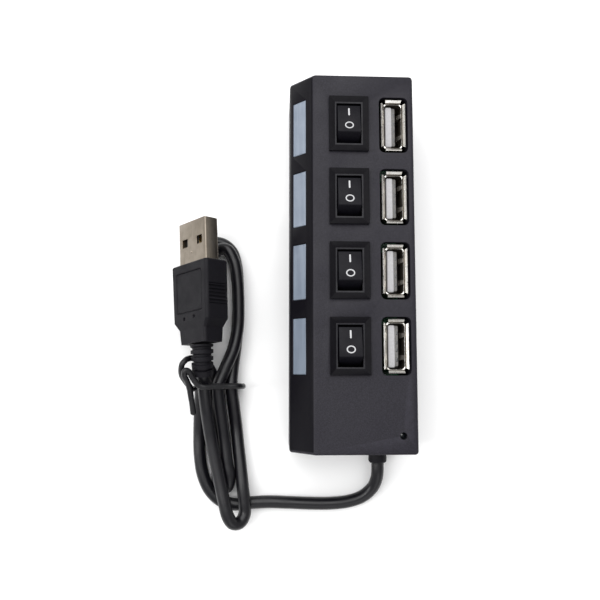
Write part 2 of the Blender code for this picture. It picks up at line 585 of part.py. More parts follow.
def make_switch_housing(row):
    """Slightly dished bezel over a cup that holds the rocker, open at the top."""
    y = row_y(row)
    outer = [(BEZEL_W, BEZEL_L, FIT), (BEZEL_W, BEZEL_L, BEZEL_FOOT),
             (RIM_W + 2 * RIM_T, RIM_L + 2 * RIM_T, BEZEL_RISE)]
    rings = [[(SWITCH_X + sx * w / 2, y + sy * l / 2, HEIGHT + z)
              for sx, sy in ((1, 1), (-1, 1), (-1, -1), (1, -1))] for w, l, z in outer]
    housing = loft(f"switch_housing_{row + 1}", rings, SWITCH_BLACK)
    cup_top = HEIGHT + (FIT + BEZEL_FOOT) / 2
    cup = box(f"housing_cup_{row + 1}", (SWITCH_X - HOUSING_W / 2, y - HOUSING_L / 2, HOUSING_BOTTOM),
              (SWITCH_X + HOUSING_W / 2, y + HOUSING_L / 2, cup_top), collection=CUTTERS)
    join(housing, cup)
    inside = box(f"housing_inside_{row + 1}",
                 (SWITCH_X - RIM_W / 2, y - RIM_L / 2, HOUSING_BOTTOM + HOUSING_WALL),
                 (SWITCH_X + RIM_W / 2, y + RIM_L / 2, HEIGHT + 2 * BEZEL_FOOT), collection=CUTTERS)
    pin_hole = cylinder(f"housing_pin_hole_{row + 1}", PIN_R + FIT,
                        (SWITCH_X - HOUSING_W, y, PIVOT_Z), (SWITCH_X + HOUSING_W, y, PIVOT_Z),
                        collection=CUTTERS, segments=20)
    cut(housing, inside, pin_hole)
    for side, slot_y in (("middle", y), ("end", y - CONTACT_Y)):
        half_w, half_t = TERMINAL_W / 2 + FIT, TERMINAL_T / 2 + FIT
        cut(housing, box(f"housing_slot_{side}_{row + 1}",
                         (SWITCH_X - half_w, slot_y - half_t, HOUSING_BOTTOM - WALL),
                         (SWITCH_X + half_w, slot_y + half_t, HOUSING_BOTTOM + 2 * HOUSING_WALL),
                         collection=CUTTERS))


def make_rocker(row):
    """The rocker, built level about its pivot and then tilted, with the I end pressed in."""
    right_side = KEEL[::-1] + arc((0, 0), ROCKER_END_R, *END_ARC, 3)
    right_side.append((ROCKER_END_R - ROCKER_HEEL, ROCKER_RISE))
    left_side = [(-along, height) for along, height in right_side[::-1]]
    rocker = plate(f"rocker_{row + 1}", left_side + right_side, ROCKER_W, SWITCH_BLACK, upright="YZ")
    round_edges(rocker, ROCKER_ROUND, 2, math.radians(25))
    reach = RIM_W / 2 + HOUSING_WALL - 2 * FIT
    pins = cylinder(f"rocker_pins_{row + 1}", PIN_R, (-reach, 0, 0), (reach, 0, 0),
                    collection=CUTTERS, segments=16)
    join(rocker, pins)
    for piece in (rocker, pins):
        piece.location = (SWITCH_X, row_y(row), PIVOT_Z)
        piece.rotation_euler = (-ROCKER_TILT, 0, 0)


def make_switch_contacts(row):
    """The see-saw blade and the two terminals that pass through the board."""
    y = row_y(row)
    blade = box(f"switch_blade_{row + 1}", (-BLADE_W / 2, -BLADE_L / 2, -BLADE_T / 2),
                (BLADE_W / 2, BLADE_L / 2, BLADE_T / 2), BRASS)
    blade.location = (SWITCH_X, y, BLADE_Z)
    blade.rotation_euler = (BLADE_TILT, 0, 0)
    low = BOARD_BOTTOM - TERMINAL_BELOW
    touch = BLADE_Z - BLADE_T / 2 - FIT
    box(f"switch_terminal_middle_{row + 1}", (SWITCH_X - TERMINAL_W / 2, y - TERMINAL_T / 2, low),
        (SWITCH_X + TERMINAL_W / 2, y + TERMINAL_T / 2, touch - TERMINAL_T / 2 * math.tan(BLADE_TILT)), BRASS)
    end_y = y - CONTACT_Y
    end_top = touch - (CONTACT_Y + TERMINAL_T / 2) * math.tan(BLADE_TILT)
    box(f"switch_terminal_end_{row + 1}", (SWITCH_X - TERMINAL_W / 2, end_y - TERMINAL_T / 2, low),
        (SWITCH_X + TERMINAL_W / 2, end_y + TERMINAL_T / 2, end_top), BRASS)


# ---- USB ports ----

def make_port_shell(row):
    """A bent sheet tube whose four lips flare outwards and leave the corners open."""
    y = row_y(row)
    half_w, half_l = PORT_W / 2 - SHELL_T / 2, PORT_L / 2 - SHELL_T / 2
    base, bend, top = BOARD_TOP + FIT, HEIGHT - LIP_DROP, HEIGHT - SHELL_T / 2 + FIT
    flare = FLARE - SHELL_T / 2
    bm = bmesh.new()
    corners = [Vector((half_w, half_l, 0)), Vector((-half_w, half_l, 0)),
               Vector((-half_w, -half_l, 0)), Vector((half_w, -half_l, 0))]
    low = [bm.verts.new((*c.xy, base)) for c in corners]
    high = [bm.verts.new((*c.xy, bend)) for c in corners]
    for i in range(4):
        j = (i + 1) % 4
        along = (corners[j] - corners[i]).normalized()
        out = Vector((along.y, -along.x, 0))
        a, b = corners[i] + along * CORNER, corners[j] - along * CORNER
        foot = [bm.verts.new((*p.xy, bend)) for p in (a, b)]
        bm.faces.new((low[i], low[j], high[j], foot[1], foot[0], high[i]))
        rows = [foot]
        for share, rise in LIP_BEND:
            height = bend + (top - bend) * rise
            spread = along * (LIP_SPREAD * flare * share)
            rows.append([bm.verts.new((*(p + out * flare * share + s * spread).xy, height))
                         for p, s in ((a, -1), (b, 1))])
        for lower, upper in zip(rows, rows[1:]):
            bm.faces.new((lower[0], lower[1], upper[1], upper[0]))
    shell = finish_mesh(f"port_shell_{row + 1}", bm, STEEL)
    shell.location = (PORT_X, y, 0)
    sheet = shell.modifiers.new("sheet", "SOLIDIFY")
    sheet.thickness = SHELL_T
    sheet.offset = 0.0
    sheet.use_even_offset = True


def make_port_tongue(row):
    """White insulator: a block that fills the bottom of the port and a thin tongue."""
    y = row_y(row)
    gap = SHELL_T + FIT
    base = BOARD_TOP + FIT
    block = box(f"port_tongue_{row + 1}",
                (PORT_X - PORT_W / 2 + gap, y - PORT_L / 2 + gap, base),
                (PORT_X + PORT_W / 2 - gap, y + PORT_L / 2 - gap, base + BLOCK_T), WHITE_PLASTIC)
    middle = PORT_X + TONGUE_SHIFT
    tongue = box(f"tongue_blade_{row + 1}", (middle - TONGUE_T / 2, y - TONGUE_L / 2, base + BLOCK_T / 2),
                 (middle + TONGUE_T / 2, y + TONGUE_L / 2, HEIGHT - TONGUE_BELOW), collection=CUTTERS)
    round_edges(tongue, TONGUE_ROUND, 2)
    join(block, tongue)


# ---- cable, plug and tie ----

def make_cable_collar():
    """The moulded collar that grips the cable in the end wall."""
    waist, inner = COLLAR_R - COLLAR_WAIST, WALL + FIT
    profile = [(0, COLLAR_LENGTH), (COLLAR_R - COLLAR_ROUND, COLLAR_LENGTH),
               (COLLAR_R, COLLAR_LENGTH - COLLAR_ROUND), (COLLAR_R - COLLAR_WAIST / 2, FIT), (waist, FIT),
               (waist, -inner), (COLLAR_FLANGE_R, -inner), (COLLAR_FLANGE_R, -inner - COLLAR_FLANGE_T),
               (0, -inner - COLLAR_FLANGE_T)]
    collar = turned("cable_collar", profile, CABLE_BLACK, steps=28)
    collar.location = (CABLE_X, -LENGTH / 2, CABLE_Z)
    collar.rotation_euler = (math.pi / 2, 0, 0)


def make_cable_bundle():
    """Outer shape of the tied bundle of cable, skinned through its stations."""
    rings = []
    for y, left, right, under, top_left, top_right in BUNDLE_STATIONS:
        ring = []
        for i in range(16):
            angle = 2 * math.pi * i / 16
            across = math.copysign(abs(math.cos(angle)) ** 0.5, math.cos(angle))
            upward = math.copysign(abs(math.sin(angle)) ** 0.5, math.sin(angle))
            share = (across + 1) / 2
            top = top_left + (top_right - top_left) * share
            ring.append((left + (right - left) * share, y, under + (top - under) * (upward + 1) / 2))
        rings.append([Vector(p) * MM for p in ring])
    loft("cable_hank", rings, CABLE_BLACK)


def plug_matrix():
    """Local Y runs to the plug's tip and local X across its wide face."""
    pitch, roll, yaw = PLUG_TURN
    turn = Matrix.Rotation(yaw, 4, "Z") @ Matrix.Rotation(pitch, 4, "X") @ Matrix.Rotation(roll, 4, "Y")
    return Matrix.Translation(PLUG_AT) @ turn


def make_plug():
    """Moulded grip, sheet-metal shell with its two windows, and the insulator inside."""
    def section(width, thickness, y):
        return [(x, y, z) for x, z in rounded_rectangle(width, thickness, OVERMOULD_ROUND, 2)]

    bevel = OVERMOULD_BEVEL
    rings = [section(OVERMOULD_W - 2 * bevel, OVERMOULD_T - 2 * bevel, 0),
             section(OVERMOULD_W, OVERMOULD_T, -bevel),
             section(OVERMOULD_W - OVERMOULD_TAPER, OVERMOULD_T, -OVERMOULD_BODY),
             section(NECK_W, NECK_T, -OVERMOULD_NECK_AT),
             section(NECK_W - bevel, NECK_T - bevel, -OVERMOULD_LENGTH)]
    grip = loft("plug_overmould", rings, PLUG_BLACK)
    pocket = box("plug_pocket", (-PLUG_SHELL_W / 2 - FIT, -PLUG_SHELL_IN - FIT, -PLUG_SHELL_T / 2 - FIT),
                 (PLUG_SHELL_W / 2 + FIT, PLUG_SHELL_IN, PLUG_SHELL_T / 2 + FIT), collection=CUTTERS)
    cut(grip, pocket)
    outline = rounded_rectangle(PLUG_SHELL_W, PLUG_SHELL_T, PLUG_SHELL_ROUND, 2)
    ends = [[(x, y, z) for x, z in outline] for y in (-PLUG_SHELL_IN, PLUG_SHELL_OUT)]
    shell = loft("plug_shell", ends, STEEL)
    bore_x, bore_z = PLUG_SHELL_W / 2 - SHELL_T, PLUG_SHELL_T / 2 - SHELL_T
    bore = box("plug_bore", (-bore_x, -PLUG_SHELL_IN - MM, -bore_z), (bore_x, PLUG_SHELL_OUT + MM, bore_z),
               collection=CUTTERS)
    cut(shell, bore)
    windows = []
    for side in (-1, 1):
        middle = side * PLUG_WINDOW_X
        windows.append(box(f"plug_window_{1 if side < 0 else 2}",
                           (middle - PLUG_WINDOW_W / 2, PLUG_WINDOW_Y[0], -PLUG_SHELL_T),
                           (middle + PLUG_WINDOW_W / 2, PLUG_WINDOW_Y[1], PLUG_SHELL_T), collection=CUTTERS))
    cut(shell, *windows)
    insulator = box("plug_insulator",
                    (-bore_x + FIT, -PLUG_SHELL_IN + FIT, -bore_z + FIT),
                    (bore_x - FIT, PLUG_SHELL_OUT - INSULATOR_SUNK, 0), WHITE_PLASTIC)
    place = plug_matrix()
    for piece in (grip, pocket, shell, bore, insulator, *windows):
        piece.matrix_world = place


def make_strain_relief():
    """Tapered ribbed sleeve between the plug's grip and the cable."""
    path = smooth_route(STRAIN_RELIEF_ROUTE, STRAIN_RELIEF_GROOVE)
    rings = []
    count = len(path)
    for i, place in enumerate(path):
        ahead = (path[min(i + 1, count - 1)] - path[max(i - 1, 0)]).normalized()
        side = ahead.cross(Vector((0, 0, 1))).normalized()
        up = side.cross(ahead)
        taper = STRAIN_RELIEF_R - STRAIN_RELIEF_TAPER * i / (count - 1)
        radius = taper if i % 3 else taper - STRAIN_RELIEF_GROOVE
        rings.append([place + radius * (side * math.cos(a) + up * math.sin(a))
                      for a in (2 * math.pi * k / 16 for k in range(16))])
    loft("plug_strain_relief", rings, PLUG_BLACK)


make_top_case()
make_bottom_cover()
make_screws()
make_board()
make_board_parts()
make_lights()
for port_row in range(ROW_COUNT):
    make_switch_housing(port_row)
    make_rocker(port_row)
    make_switch_contacts(port_row)
    make_port_shell(port_row)
    make_port_tongue(port_row)
make_cable_collar()
tube("cable_run", smooth_route(CABLE_ROUTE, 2.2 * CABLE_D), CABLE_D, CABLE_BLACK)
make_cable_bundle()
make_plug()
make_strain_relief()
tube("twist_tie", smooth_route(TIE_ROUTE, 1.4 * TIE_D), TIE_D, CABLE_BLACK)
for part in PARTS.objects:
    if part.type == "MESH":
        for face in part.data.polygons:
            face.use_smooth = len(part.data.polygons) > 60
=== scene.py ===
# %% [markdown]
# # A four-port USB hub with rocker switches
#
# This notebook dresses a finished CAD model for a studio picture.  The CAD part already fixes
# every size and every moving piece, and here each visible surface gets its fine shape and its
# finish.  Everything is in metres, with +Z up, and the hub lies on its bottom cover.

# %% Load the fixed frame
import json
import math

import bmesh
import bpy
import numpy as np
from mathutils import Matrix, Vector


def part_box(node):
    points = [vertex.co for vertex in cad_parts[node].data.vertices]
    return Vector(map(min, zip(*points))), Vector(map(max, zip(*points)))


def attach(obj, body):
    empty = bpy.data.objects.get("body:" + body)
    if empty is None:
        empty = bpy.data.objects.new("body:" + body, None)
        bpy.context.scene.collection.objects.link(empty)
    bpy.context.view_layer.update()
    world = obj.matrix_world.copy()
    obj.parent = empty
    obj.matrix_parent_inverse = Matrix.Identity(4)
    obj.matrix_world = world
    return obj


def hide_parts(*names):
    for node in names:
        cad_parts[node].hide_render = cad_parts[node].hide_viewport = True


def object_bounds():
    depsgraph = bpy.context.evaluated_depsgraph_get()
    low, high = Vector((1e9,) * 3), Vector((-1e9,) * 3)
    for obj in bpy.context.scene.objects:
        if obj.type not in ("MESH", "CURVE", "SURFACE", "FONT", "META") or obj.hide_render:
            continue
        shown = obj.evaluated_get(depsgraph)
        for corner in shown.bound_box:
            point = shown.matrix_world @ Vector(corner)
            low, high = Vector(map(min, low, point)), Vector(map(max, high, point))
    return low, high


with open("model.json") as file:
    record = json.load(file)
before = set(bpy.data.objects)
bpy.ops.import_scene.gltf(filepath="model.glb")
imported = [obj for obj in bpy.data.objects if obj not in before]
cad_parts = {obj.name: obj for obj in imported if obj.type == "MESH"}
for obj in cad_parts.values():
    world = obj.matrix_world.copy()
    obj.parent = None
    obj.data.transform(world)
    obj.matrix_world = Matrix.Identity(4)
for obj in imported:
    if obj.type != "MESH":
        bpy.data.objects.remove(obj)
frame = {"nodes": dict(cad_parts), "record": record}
cad_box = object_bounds()
NODES = frame["nodes"]
MM = 0.001
ROWS = range(1, 5)
CASE_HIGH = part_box("top_case")[1]
TOP_Z = CASE_HIGH.z
print("nodes:", len(NODES), " case top at", round(TOP_Z / MM, 2), "mm")

# %% [markdown]
# ## Camera and stage
#
# The hub is seen from almost straight above, a little from its left and from its cable end.
# A track-to rotation keeps +Z up, which says nothing when looking straight down, so the
# camera's rotation is built from the line of sight and the hub's length, which stays upright in
# the picture.  The light is a pale room with one broad soft panel above the far end, which
# grades the top face from light to dark, a narrow one at the side, which draws long highlights
# on the cable, and a weak one at the near end, which opens the shadows.

# %% Camera
CAMERA_AT = Vector((-23.0, -28.2, 194.8)) * MM
CAMERA_AIM = Vector((-13.9, -10.6, 25.0)) * MM
camera_data = bpy.data.cameras.new("camera")
camera_data.sensor_width = 36.0
camera_data.lens = 39.8
camera_data.clip_start = 0.01
camera = bpy.data.objects.new("camera", camera_data)
camera_view = (CAMERA_AIM - CAMERA_AT).normalized()
camera_right = camera_view.cross(Vector((0, 1, 0))).normalized()
camera_turn = Matrix((camera_right, camera_right.cross(camera_view), -camera_view)).transposed()
camera.matrix_world = Matrix.Translation(CAMERA_AT) @ camera_turn.to_4x4()
bpy.context.scene.collection.objects.link(camera)
bpy.context.scene.camera = camera
print("camera", round((CAMERA_AIM - CAMERA_AT).length / MM), "mm from its aim")

# %% Soft studio light and a pale floor


def area_light(name, place, aim, size, power, size_y=None):
    """A soft rectangular panel at place that shines toward aim."""
    data = bpy.data.lights.new(name, "AREA")
    data.shape = "RECTANGLE"
    data.size = size
    data.size_y = size_y or size
    data.energy = power
    light = bpy.data.objects.new(name, data)
    light.location = place
    light.rotation_euler = (Vector(aim) - Vector(place)).to_track_quat("-Z", "Y").to_euler()
    bpy.context.scene.collection.objects.link(light)
    return light


area_light("far_panel", (-0.10, 0.38, 0.80), (-0.02, 0, 0), 0.95, 8.5)
area_light("side_panel", (-0.50, -0.05, 0.45), (-0.02, 0, 0), 0.14, 1.9, 0.7)
area_light("near_panel", (0.12, -0.55, 0.45), (0, 0, 0), 0.4, 0.6)

world = bpy.data.worlds.new("pale_room")
world.use_nodes = True
world.node_tree.nodes["Background"].inputs["Color"].default_value = (1.0, 1.0, 1.0, 1.0)
world.node_tree.nodes["Background"].inputs["Strength"].default_value = 0.52
bpy.context.scene.world = world
bpy.context.scene.view_settings.view_transform = "Standard"

floor_mesh = bpy.data.meshes.new("floor")
floor_mesh.from_pydata([(-3, -3, 0), (3, -3, 0), (3, 3, 0), (-3, 3, 0)], [], [(0, 1, 2, 3)])
floor = bpy.data.objects.new("floor", floor_mesh)
floor.location.z = min(0.0, cad_box[0][2]) - 0.00002
bpy.context.scene.collection.objects.link(floor)
floor_material = bpy.data.materials.new("pale_floor")
floor_material.use_nodes = True
floor_shader = floor_material.node_tree.nodes["Principled BSDF"]
floor_shader.inputs["Base Color"].default_value = (0.95, 0.95, 0.95, 1.0)
floor_shader.inputs["Roughness"].default_value = 0.8
floor_mesh.materials.append(floor_material)

# %% [markdown]
# ## Finishes
#
# Four effects return on many pieces, so each one is a shader node group, made once: the fine
# grain that a spark-eroded mould leaves on plastic, the faint patches where fingers and dust
# changed the gloss, the lighter line where an edge is rubbed, and the fine streaks of rolled
# sheet metal.  All of them read object coordinates, which are true lengths here, so a grain
# size is given in millimetres.

# %% Small helpers for node trees


def add_node(tree, kind, inputs=None, **settings):
    """A node with its settings; an input given as a socket is linked, any other value is set."""
    node = tree.nodes.new(kind)
    for key, value in settings.items():
        setattr(node, key, value)
    for key, value in (inputs or {}).items():
        if isinstance(value, bpy.types.NodeSocket):
            tree.links.new(value, node.inputs[key])
        else:
            node.inputs[key].default_value = value
    return node


def new_group(name, inputs, output):
    """A group with numbers as its named inputs and one number as its output."""
    tree = bpy.data.node_groups.new(name, "ShaderNodeTree")
    for label, value in inputs.items():
        socket = tree.interface.new_socket(label, in_out="INPUT", socket_type="NodeSocketFloat")
        socket.default_value = value
    tree.interface.new_socket(output, in_out="OUTPUT", socket_type="NodeSocketFloat")
    return tree, tree.nodes.new("NodeGroupInput").outputs, tree.nodes.new("NodeGroupOutput").inputs


def use_group(tree, group, **inputs):
    """The first output of a group that is placed in a material with its own values."""
    node = add_node(tree, "ShaderNodeGroup", node_tree=group)
    for label, value in inputs.items():
        node.inputs[label].default_value = value
    return node.outputs[0]


def math_node(tree, operation, *values):
    """The result of a math node on numbers or sockets."""
    return add_node(tree, "ShaderNodeMath", dict(enumerate(values)), operation=operation).outputs[0]


def ramp(tree, value, low, high, to_low=0.0, to_high=1.0):
    """A value carried from low..high to another range, and held at its ends."""
    return add_node(tree, "ShaderNodeMapRange", {"Value": value, "From Min": low, "From Max": high,
                                                 "To Min": to_low, "To Max": to_high}).outputs[0]


def per_mm(tree, size):
    """The texture scale that makes a pattern as large as size, in millimetres."""
    return math_node(tree, "DIVIDE", 1 / MM, size)


# %% The four shared effects


def moulded_grain_group():
    """Grain height: noise at the grain's size, plus a share of noise three times finer."""
    tree, given, result = new_group("moulded_grain", {"Size mm": 0.25}, "Height")
    place = add_node(tree, "ShaderNodeTexCoord").outputs["Object"]
    scale = per_mm(tree, given["Size mm"])
    coarse = add_node(tree, "ShaderNodeTexNoise", {"Vector": place, "Scale": scale, "Detail": 1.0})
    fine = add_node(tree, "ShaderNodeTexNoise", {"Vector": place, "Detail": 0.0,
                                                 "Scale": math_node(tree, "MULTIPLY", scale, 3.0)})
    share = math_node(tree, "MULTIPLY", fine.outputs["Fac"], 0.4)
    tree.links.new(math_node(tree, "ADD", coarse.outputs["Fac"], share), result["Height"])
    return tree


def handling_group():
    """Patches between 0 and 1: wide noise, broken up by narrower noise and held at both ends."""
    tree, given, result = new_group("handling_marks", {"Size mm": 9.0, "Contrast": 1.0}, "Mask")
    place = add_node(tree, "ShaderNodeTexCoord").outputs["Object"]
    noise = add_node(tree, "ShaderNodeTexNoise", {"Vector": place, "Detail": 5.0, "Roughness": 0.62,
                                                  "Scale": per_mm(tree, given["Size mm"])})
    centred = math_node(tree, "SUBTRACT", noise.outputs["Fac"], 0.5)
    steepness = math_node(tree, "MULTIPLY", given["Contrast"], 3.0)
    spread = math_node(tree, "MULTIPLY_ADD", centred, steepness, 0.5)
    tree.links.new(ramp(tree, spread, 0.0, 1.0), result["Mask"])
    return tree


def edge_wear_group():
    """Rubbed edges: how far the surface sticks out, times a noise that leaves gaps in the line."""
    tree, given, result = new_group("edge_wear", {"Start": 0.53, "Gap mm": 2.0}, "Mask")
    geometry = add_node(tree, "ShaderNodeNewGeometry")
    proud = ramp(tree, geometry.outputs["Pointiness"], given["Start"], 0.62)
    place = add_node(tree, "ShaderNodeTexCoord").outputs["Object"]
    noise = add_node(tree, "ShaderNodeTexNoise", {"Vector": place, "Detail": 3.0,
                                                  "Scale": per_mm(tree, given["Gap mm"])})
    broken = ramp(tree, noise.outputs["Fac"], 0.35, 0.65, 0.35, 1.0)
    tree.links.new(math_node(tree, "MULTIPLY", proud, broken), result["Mask"])
    return tree


def rolled_streaks_group():
    """Fine streaks along Y: noise whose points are drawn out twenty times along that axis."""
    tree, given, result = new_group("rolled_streaks", {"Size mm": 0.12}, "Height")
    place = add_node(tree, "ShaderNodeTexCoord").outputs["Object"]
    drawn = add_node(tree, "ShaderNodeMapping", {"Vector": place, "Scale": (1.0, 0.05, 1.0)})
    noise = add_node(tree, "ShaderNodeTexNoise", {"Vector": drawn.outputs[0], "Detail": 3.0,
                                                  "Scale": per_mm(tree, given["Size mm"])})
    tree.links.new(noise.outputs["Fac"], result["Height"])
    return tree


GRAIN = moulded_grain_group()
HANDLING = handling_group()
EDGE_WEAR = edge_wear_group()
STREAKS = rolled_streaks_group()
print("effects:", [group.name for group in bpy.data.node_groups])

# %% [markdown]
# ## Plastic and metal
#
# Every plastic here is the same recipe with other numbers.  Its colour is speckled by the grain
# and lightened on rubbed edges, its roughness changes with handling, and the grain raises its
# surface a few hundredths of a millimetre.  Black plastic is never one black: what the eye reads
# as satin or gloss is mostly how the roughness varies.

# %% Plastic recipe


def new_material(name, **shader_values):
    """A material's node tree and Principled shader, with its constant values set on the sockets."""
    material = bpy.data.materials.new(name)
    material.use_nodes = True
    shader = material.node_tree.nodes["Principled BSDF"]
    for label, value in shader_values.items():
        shader.inputs[label.replace("_", " ")].default_value = value
    return material, material.node_tree, shader.inputs


def blend_colours(tree, share, first, second):
    """Two colours mixed by a share."""
    sockets = {"Factor": share, 6: first if isinstance(first, bpy.types.NodeSocket) else (*first, 1.0),
               7: (*second, 1.0)}
    return add_node(tree, "ShaderNodeMix", sockets, data_type="RGBA").outputs[2]


def plastic(name, colour, worn, roughness, grain=0.25, depth=0.012, speckle=0.5, wear=0.6, patch=9.0,
            **shader_values):
    """Moulded plastic: colour and worn are its two tones, roughness its range, grain and depth in mm."""
    material, tree, sockets = new_material(name, **shader_values)
    height = use_group(tree, GRAIN, **{"Size mm": grain})
    patches = use_group(tree, HANDLING, **{"Size mm": patch})
    rubbed = use_group(tree, EDGE_WEAR, **{"Gap mm": 1.6})
    speckled = ramp(tree, height, 0.55, 0.95, 0.0, speckle)
    lit = blend_colours(tree, speckled, colour, worn)
    edges = math_node(tree, "MULTIPLY", rubbed, wear)
    tree.links.new(blend_colours(tree, edges, lit, worn), sockets["Base Color"])
    tree.links.new(ramp(tree, patches, 0.0, 1.0, *roughness), sockets["Roughness"])
    bump = add_node(tree, "ShaderNodeBump", {"Height": height, "Distance": depth * MM, "Strength": 1.0})
    tree.links.new(bump.outputs[0], sockets["Normal"])
    return material


def metal(name, colour, stain, roughness, streak=0.12, depth=0.004, patch=2.0, **shader_values):
    """Plated sheet: colour and stain are its two tones, roughness its range."""
    material, tree, sockets = new_material(name, Metallic=1.0, **shader_values)
    height = use_group(tree, STREAKS, **{"Size mm": streak})
    patches = use_group(tree, HANDLING, **{"Size mm": patch})
    speckled = math_node(tree, "MULTIPLY", patches, ramp(tree, height, 0.3, 0.7))
    tree.links.new(blend_colours(tree, speckled, colour, stain), sockets["Base Color"])
    tree.links.new(ramp(tree, patches, 0.0, 1.0, *roughness), sockets["Roughness"])
    bump = add_node(tree, "ShaderNodeBump", {"Height": height, "Distance": depth * MM, "Strength": 0.6})
    tree.links.new(bump.outputs[0], sockets["Normal"])
    return material


# %% The finishes of this hub
CASE_TOP = plastic("case_black", (0.0068, 0.0059, 0.0100), (0.027, 0.0248, 0.0360), (0.50, 0.62),
                   grain=0.22, depth=0.03, speckle=0.55, wear=0.5, Specular_IOR_Level=0.28)
# The slanted face's plastic: smoother than the top, and its much darker colour is painted shade.
CASE_SLANT_SHADED = plastic("case_smooth_painted_shade", (0.0020, 0.0016, 0.0034), (0.006, 0.0052, 0.0085), (0.42, 0.5),
                     grain=0.3, depth=0.004, speckle=0.2, wear=0.3, Specular_IOR_Level=0.1)
SWITCH_FRAME = plastic("switch_frame", (0.0018, 0.0015, 0.0028), (0.016, 0.0150, 0.0205), (0.34, 0.46),
                       grain=0.35, depth=0.006, speckle=0.10, wear=0.8, patch=3.0,
                       Specular_IOR_Level=0.07)
# The flat rim round each switch opening: a little more polished, and painted lighter than the frame as a
# painted highlight.
SWITCH_RIM_HIGHLIGHT = plastic("switch_rim_painted_highlight", (0.0060, 0.0055, 0.0080), (0.026, 0.0245, 0.0320), (0.3, 0.42),
                     grain=0.35, depth=0.006, speckle=0.3, wear=0.8, patch=2.0, Specular_IOR_Level=0.2)
SWITCH_ROCKER = plastic("switch_rocker", (0.0030, 0.0027, 0.0046), (0.022, 0.0210, 0.0280), (0.36, 0.5),
                        grain=0.3, depth=0.006, speckle=0.15, wear=0.7, patch=3.0,
                        Specular_IOR_Level=0.12)
CABLE_PVC = plastic("cable_pvc", (0.0022, 0.0020, 0.0036), (0.010, 0.0096, 0.0135), (0.30, 0.44),
                    grain=0.6, depth=0.012, speckle=0.3, wear=0.2, patch=5.0, Specular_IOR_Level=0.4)
TIE_PVC = plastic("tie_pvc", (0.0030, 0.0029, 0.0040), (0.02, 0.0195, 0.023), (0.34, 0.5), grain=0.4,
                  depth=0.015, speckle=0.3, wear=0.3, patch=2.5, Specular_IOR_Level=0.38)
PLUG_GRIP = plastic("plug_grip", (0.0040, 0.0036, 0.0054), (0.0155, 0.0148, 0.0190), (0.50, 0.66),
                    grain=0.2, depth=0.02, speckle=0.35, wear=0.45, patch=4.0, Specular_IOR_Level=0.17)
MARK_WHITE = plastic("switch_mark", (0.46, 0.46, 0.47), (0.62, 0.62, 0.63), (0.45, 0.6), grain=0.12,
                     depth=0.006, speckle=0.5, wear=0.2, patch=1.0)
TONGUE_WHITE = plastic("tongue_white", (0.37, 0.365, 0.375), (0.50, 0.495, 0.505), (0.42, 0.55),
                       grain=0.5, depth=0.008, speckle=0.4, wear=0.3, patch=2.2)
# Grey plastic of the tongue's ledge; on the plug's white insulator the same grey is painted shade.
LEDGE_GREY_AND_INSULATOR_SHADE = plastic("ledge_grey_and_insulator_shade", (0.115, 0.11, 0.105), (0.20, 0.195, 0.19), (0.42, 0.55), grain=0.5,
                    depth=0.008, speckle=0.4, wear=0.3, patch=1.2)
# The block at the bottom of each port: its near-black colour is painted shadow.
BLOCK_PAINTED_SHADOW = plastic("insulator_shadow", (0.05, 0.047, 0.042), (0.09, 0.085, 0.075), (0.5, 0.7),
                     grain=0.5, depth=0.01, speckle=0.6, wear=0.2, patch=1.2)
PORT_LIP = metal("port_lip", (0.92, 0.91, 0.88), (0.55, 0.50, 0.42), (0.24, 0.42), streak=0.25,
                 patch=0.7)
# The port's inside: dull plated metal, with the cavity's shade painted into its colour as a dark brown.
PORT_PAINTED_SHADE = metal("port_dull_painted_shade", (0.20, 0.175, 0.145), (0.10, 0.085, 0.065), (0.38, 0.6), patch=1.0)
SPRING_STEEL = metal("spring_steel", (0.55, 0.53, 0.50), (0.25, 0.22, 0.18), (0.25, 0.4), patch=0.8)
PLUG_NICKEL = metal("plug_nickel", (0.275, 0.240, 0.198), (0.205, 0.175, 0.138), (0.34, 0.46),
                    streak=0.3, depth=0.003, patch=2.5)
GOLD = metal("contact_gold", (0.75, 0.52, 0.20), (0.55, 0.36, 0.14), (0.22, 0.35), patch=1.0)
BRASS = metal("brass", (0.60, 0.44, 0.20), (0.35, 0.24, 0.11), (0.3, 0.45), patch=1.5)
SCREW_ZINC = metal("screw_zinc", (0.42, 0.42, 0.43), (0.25, 0.24, 0.22), (0.3, 0.5), patch=1.2)
# Dark lens plastic of the lights; the same dark colour on the ledge's slots is painted shade.
DARK_LENS_AND_SLOT_SHADE = plastic("dark_lens_and_slot_shade", (0.012, 0.014, 0.018), (0.03, 0.035, 0.045), (0.06, 0.12), grain=0.8,
                    depth=0.002, speckle=0.2, wear=0.1, patch=1.0, Coat_Weight=0.5)
COVER_BLACK = plastic("cover_black", (0.013, 0.0125, 0.0145), (0.04, 0.038, 0.043), (0.5, 0.66),
                      grain=0.3, depth=0.03, speckle=0.5, wear=0.5)
CHIP_EPOXY = plastic("chip_epoxy", (0.012, 0.012, 0.012), (0.04, 0.04, 0.04), (0.55, 0.7), grain=0.12,
                     depth=0.02)
print("finishes:", len(bpy.data.materials))
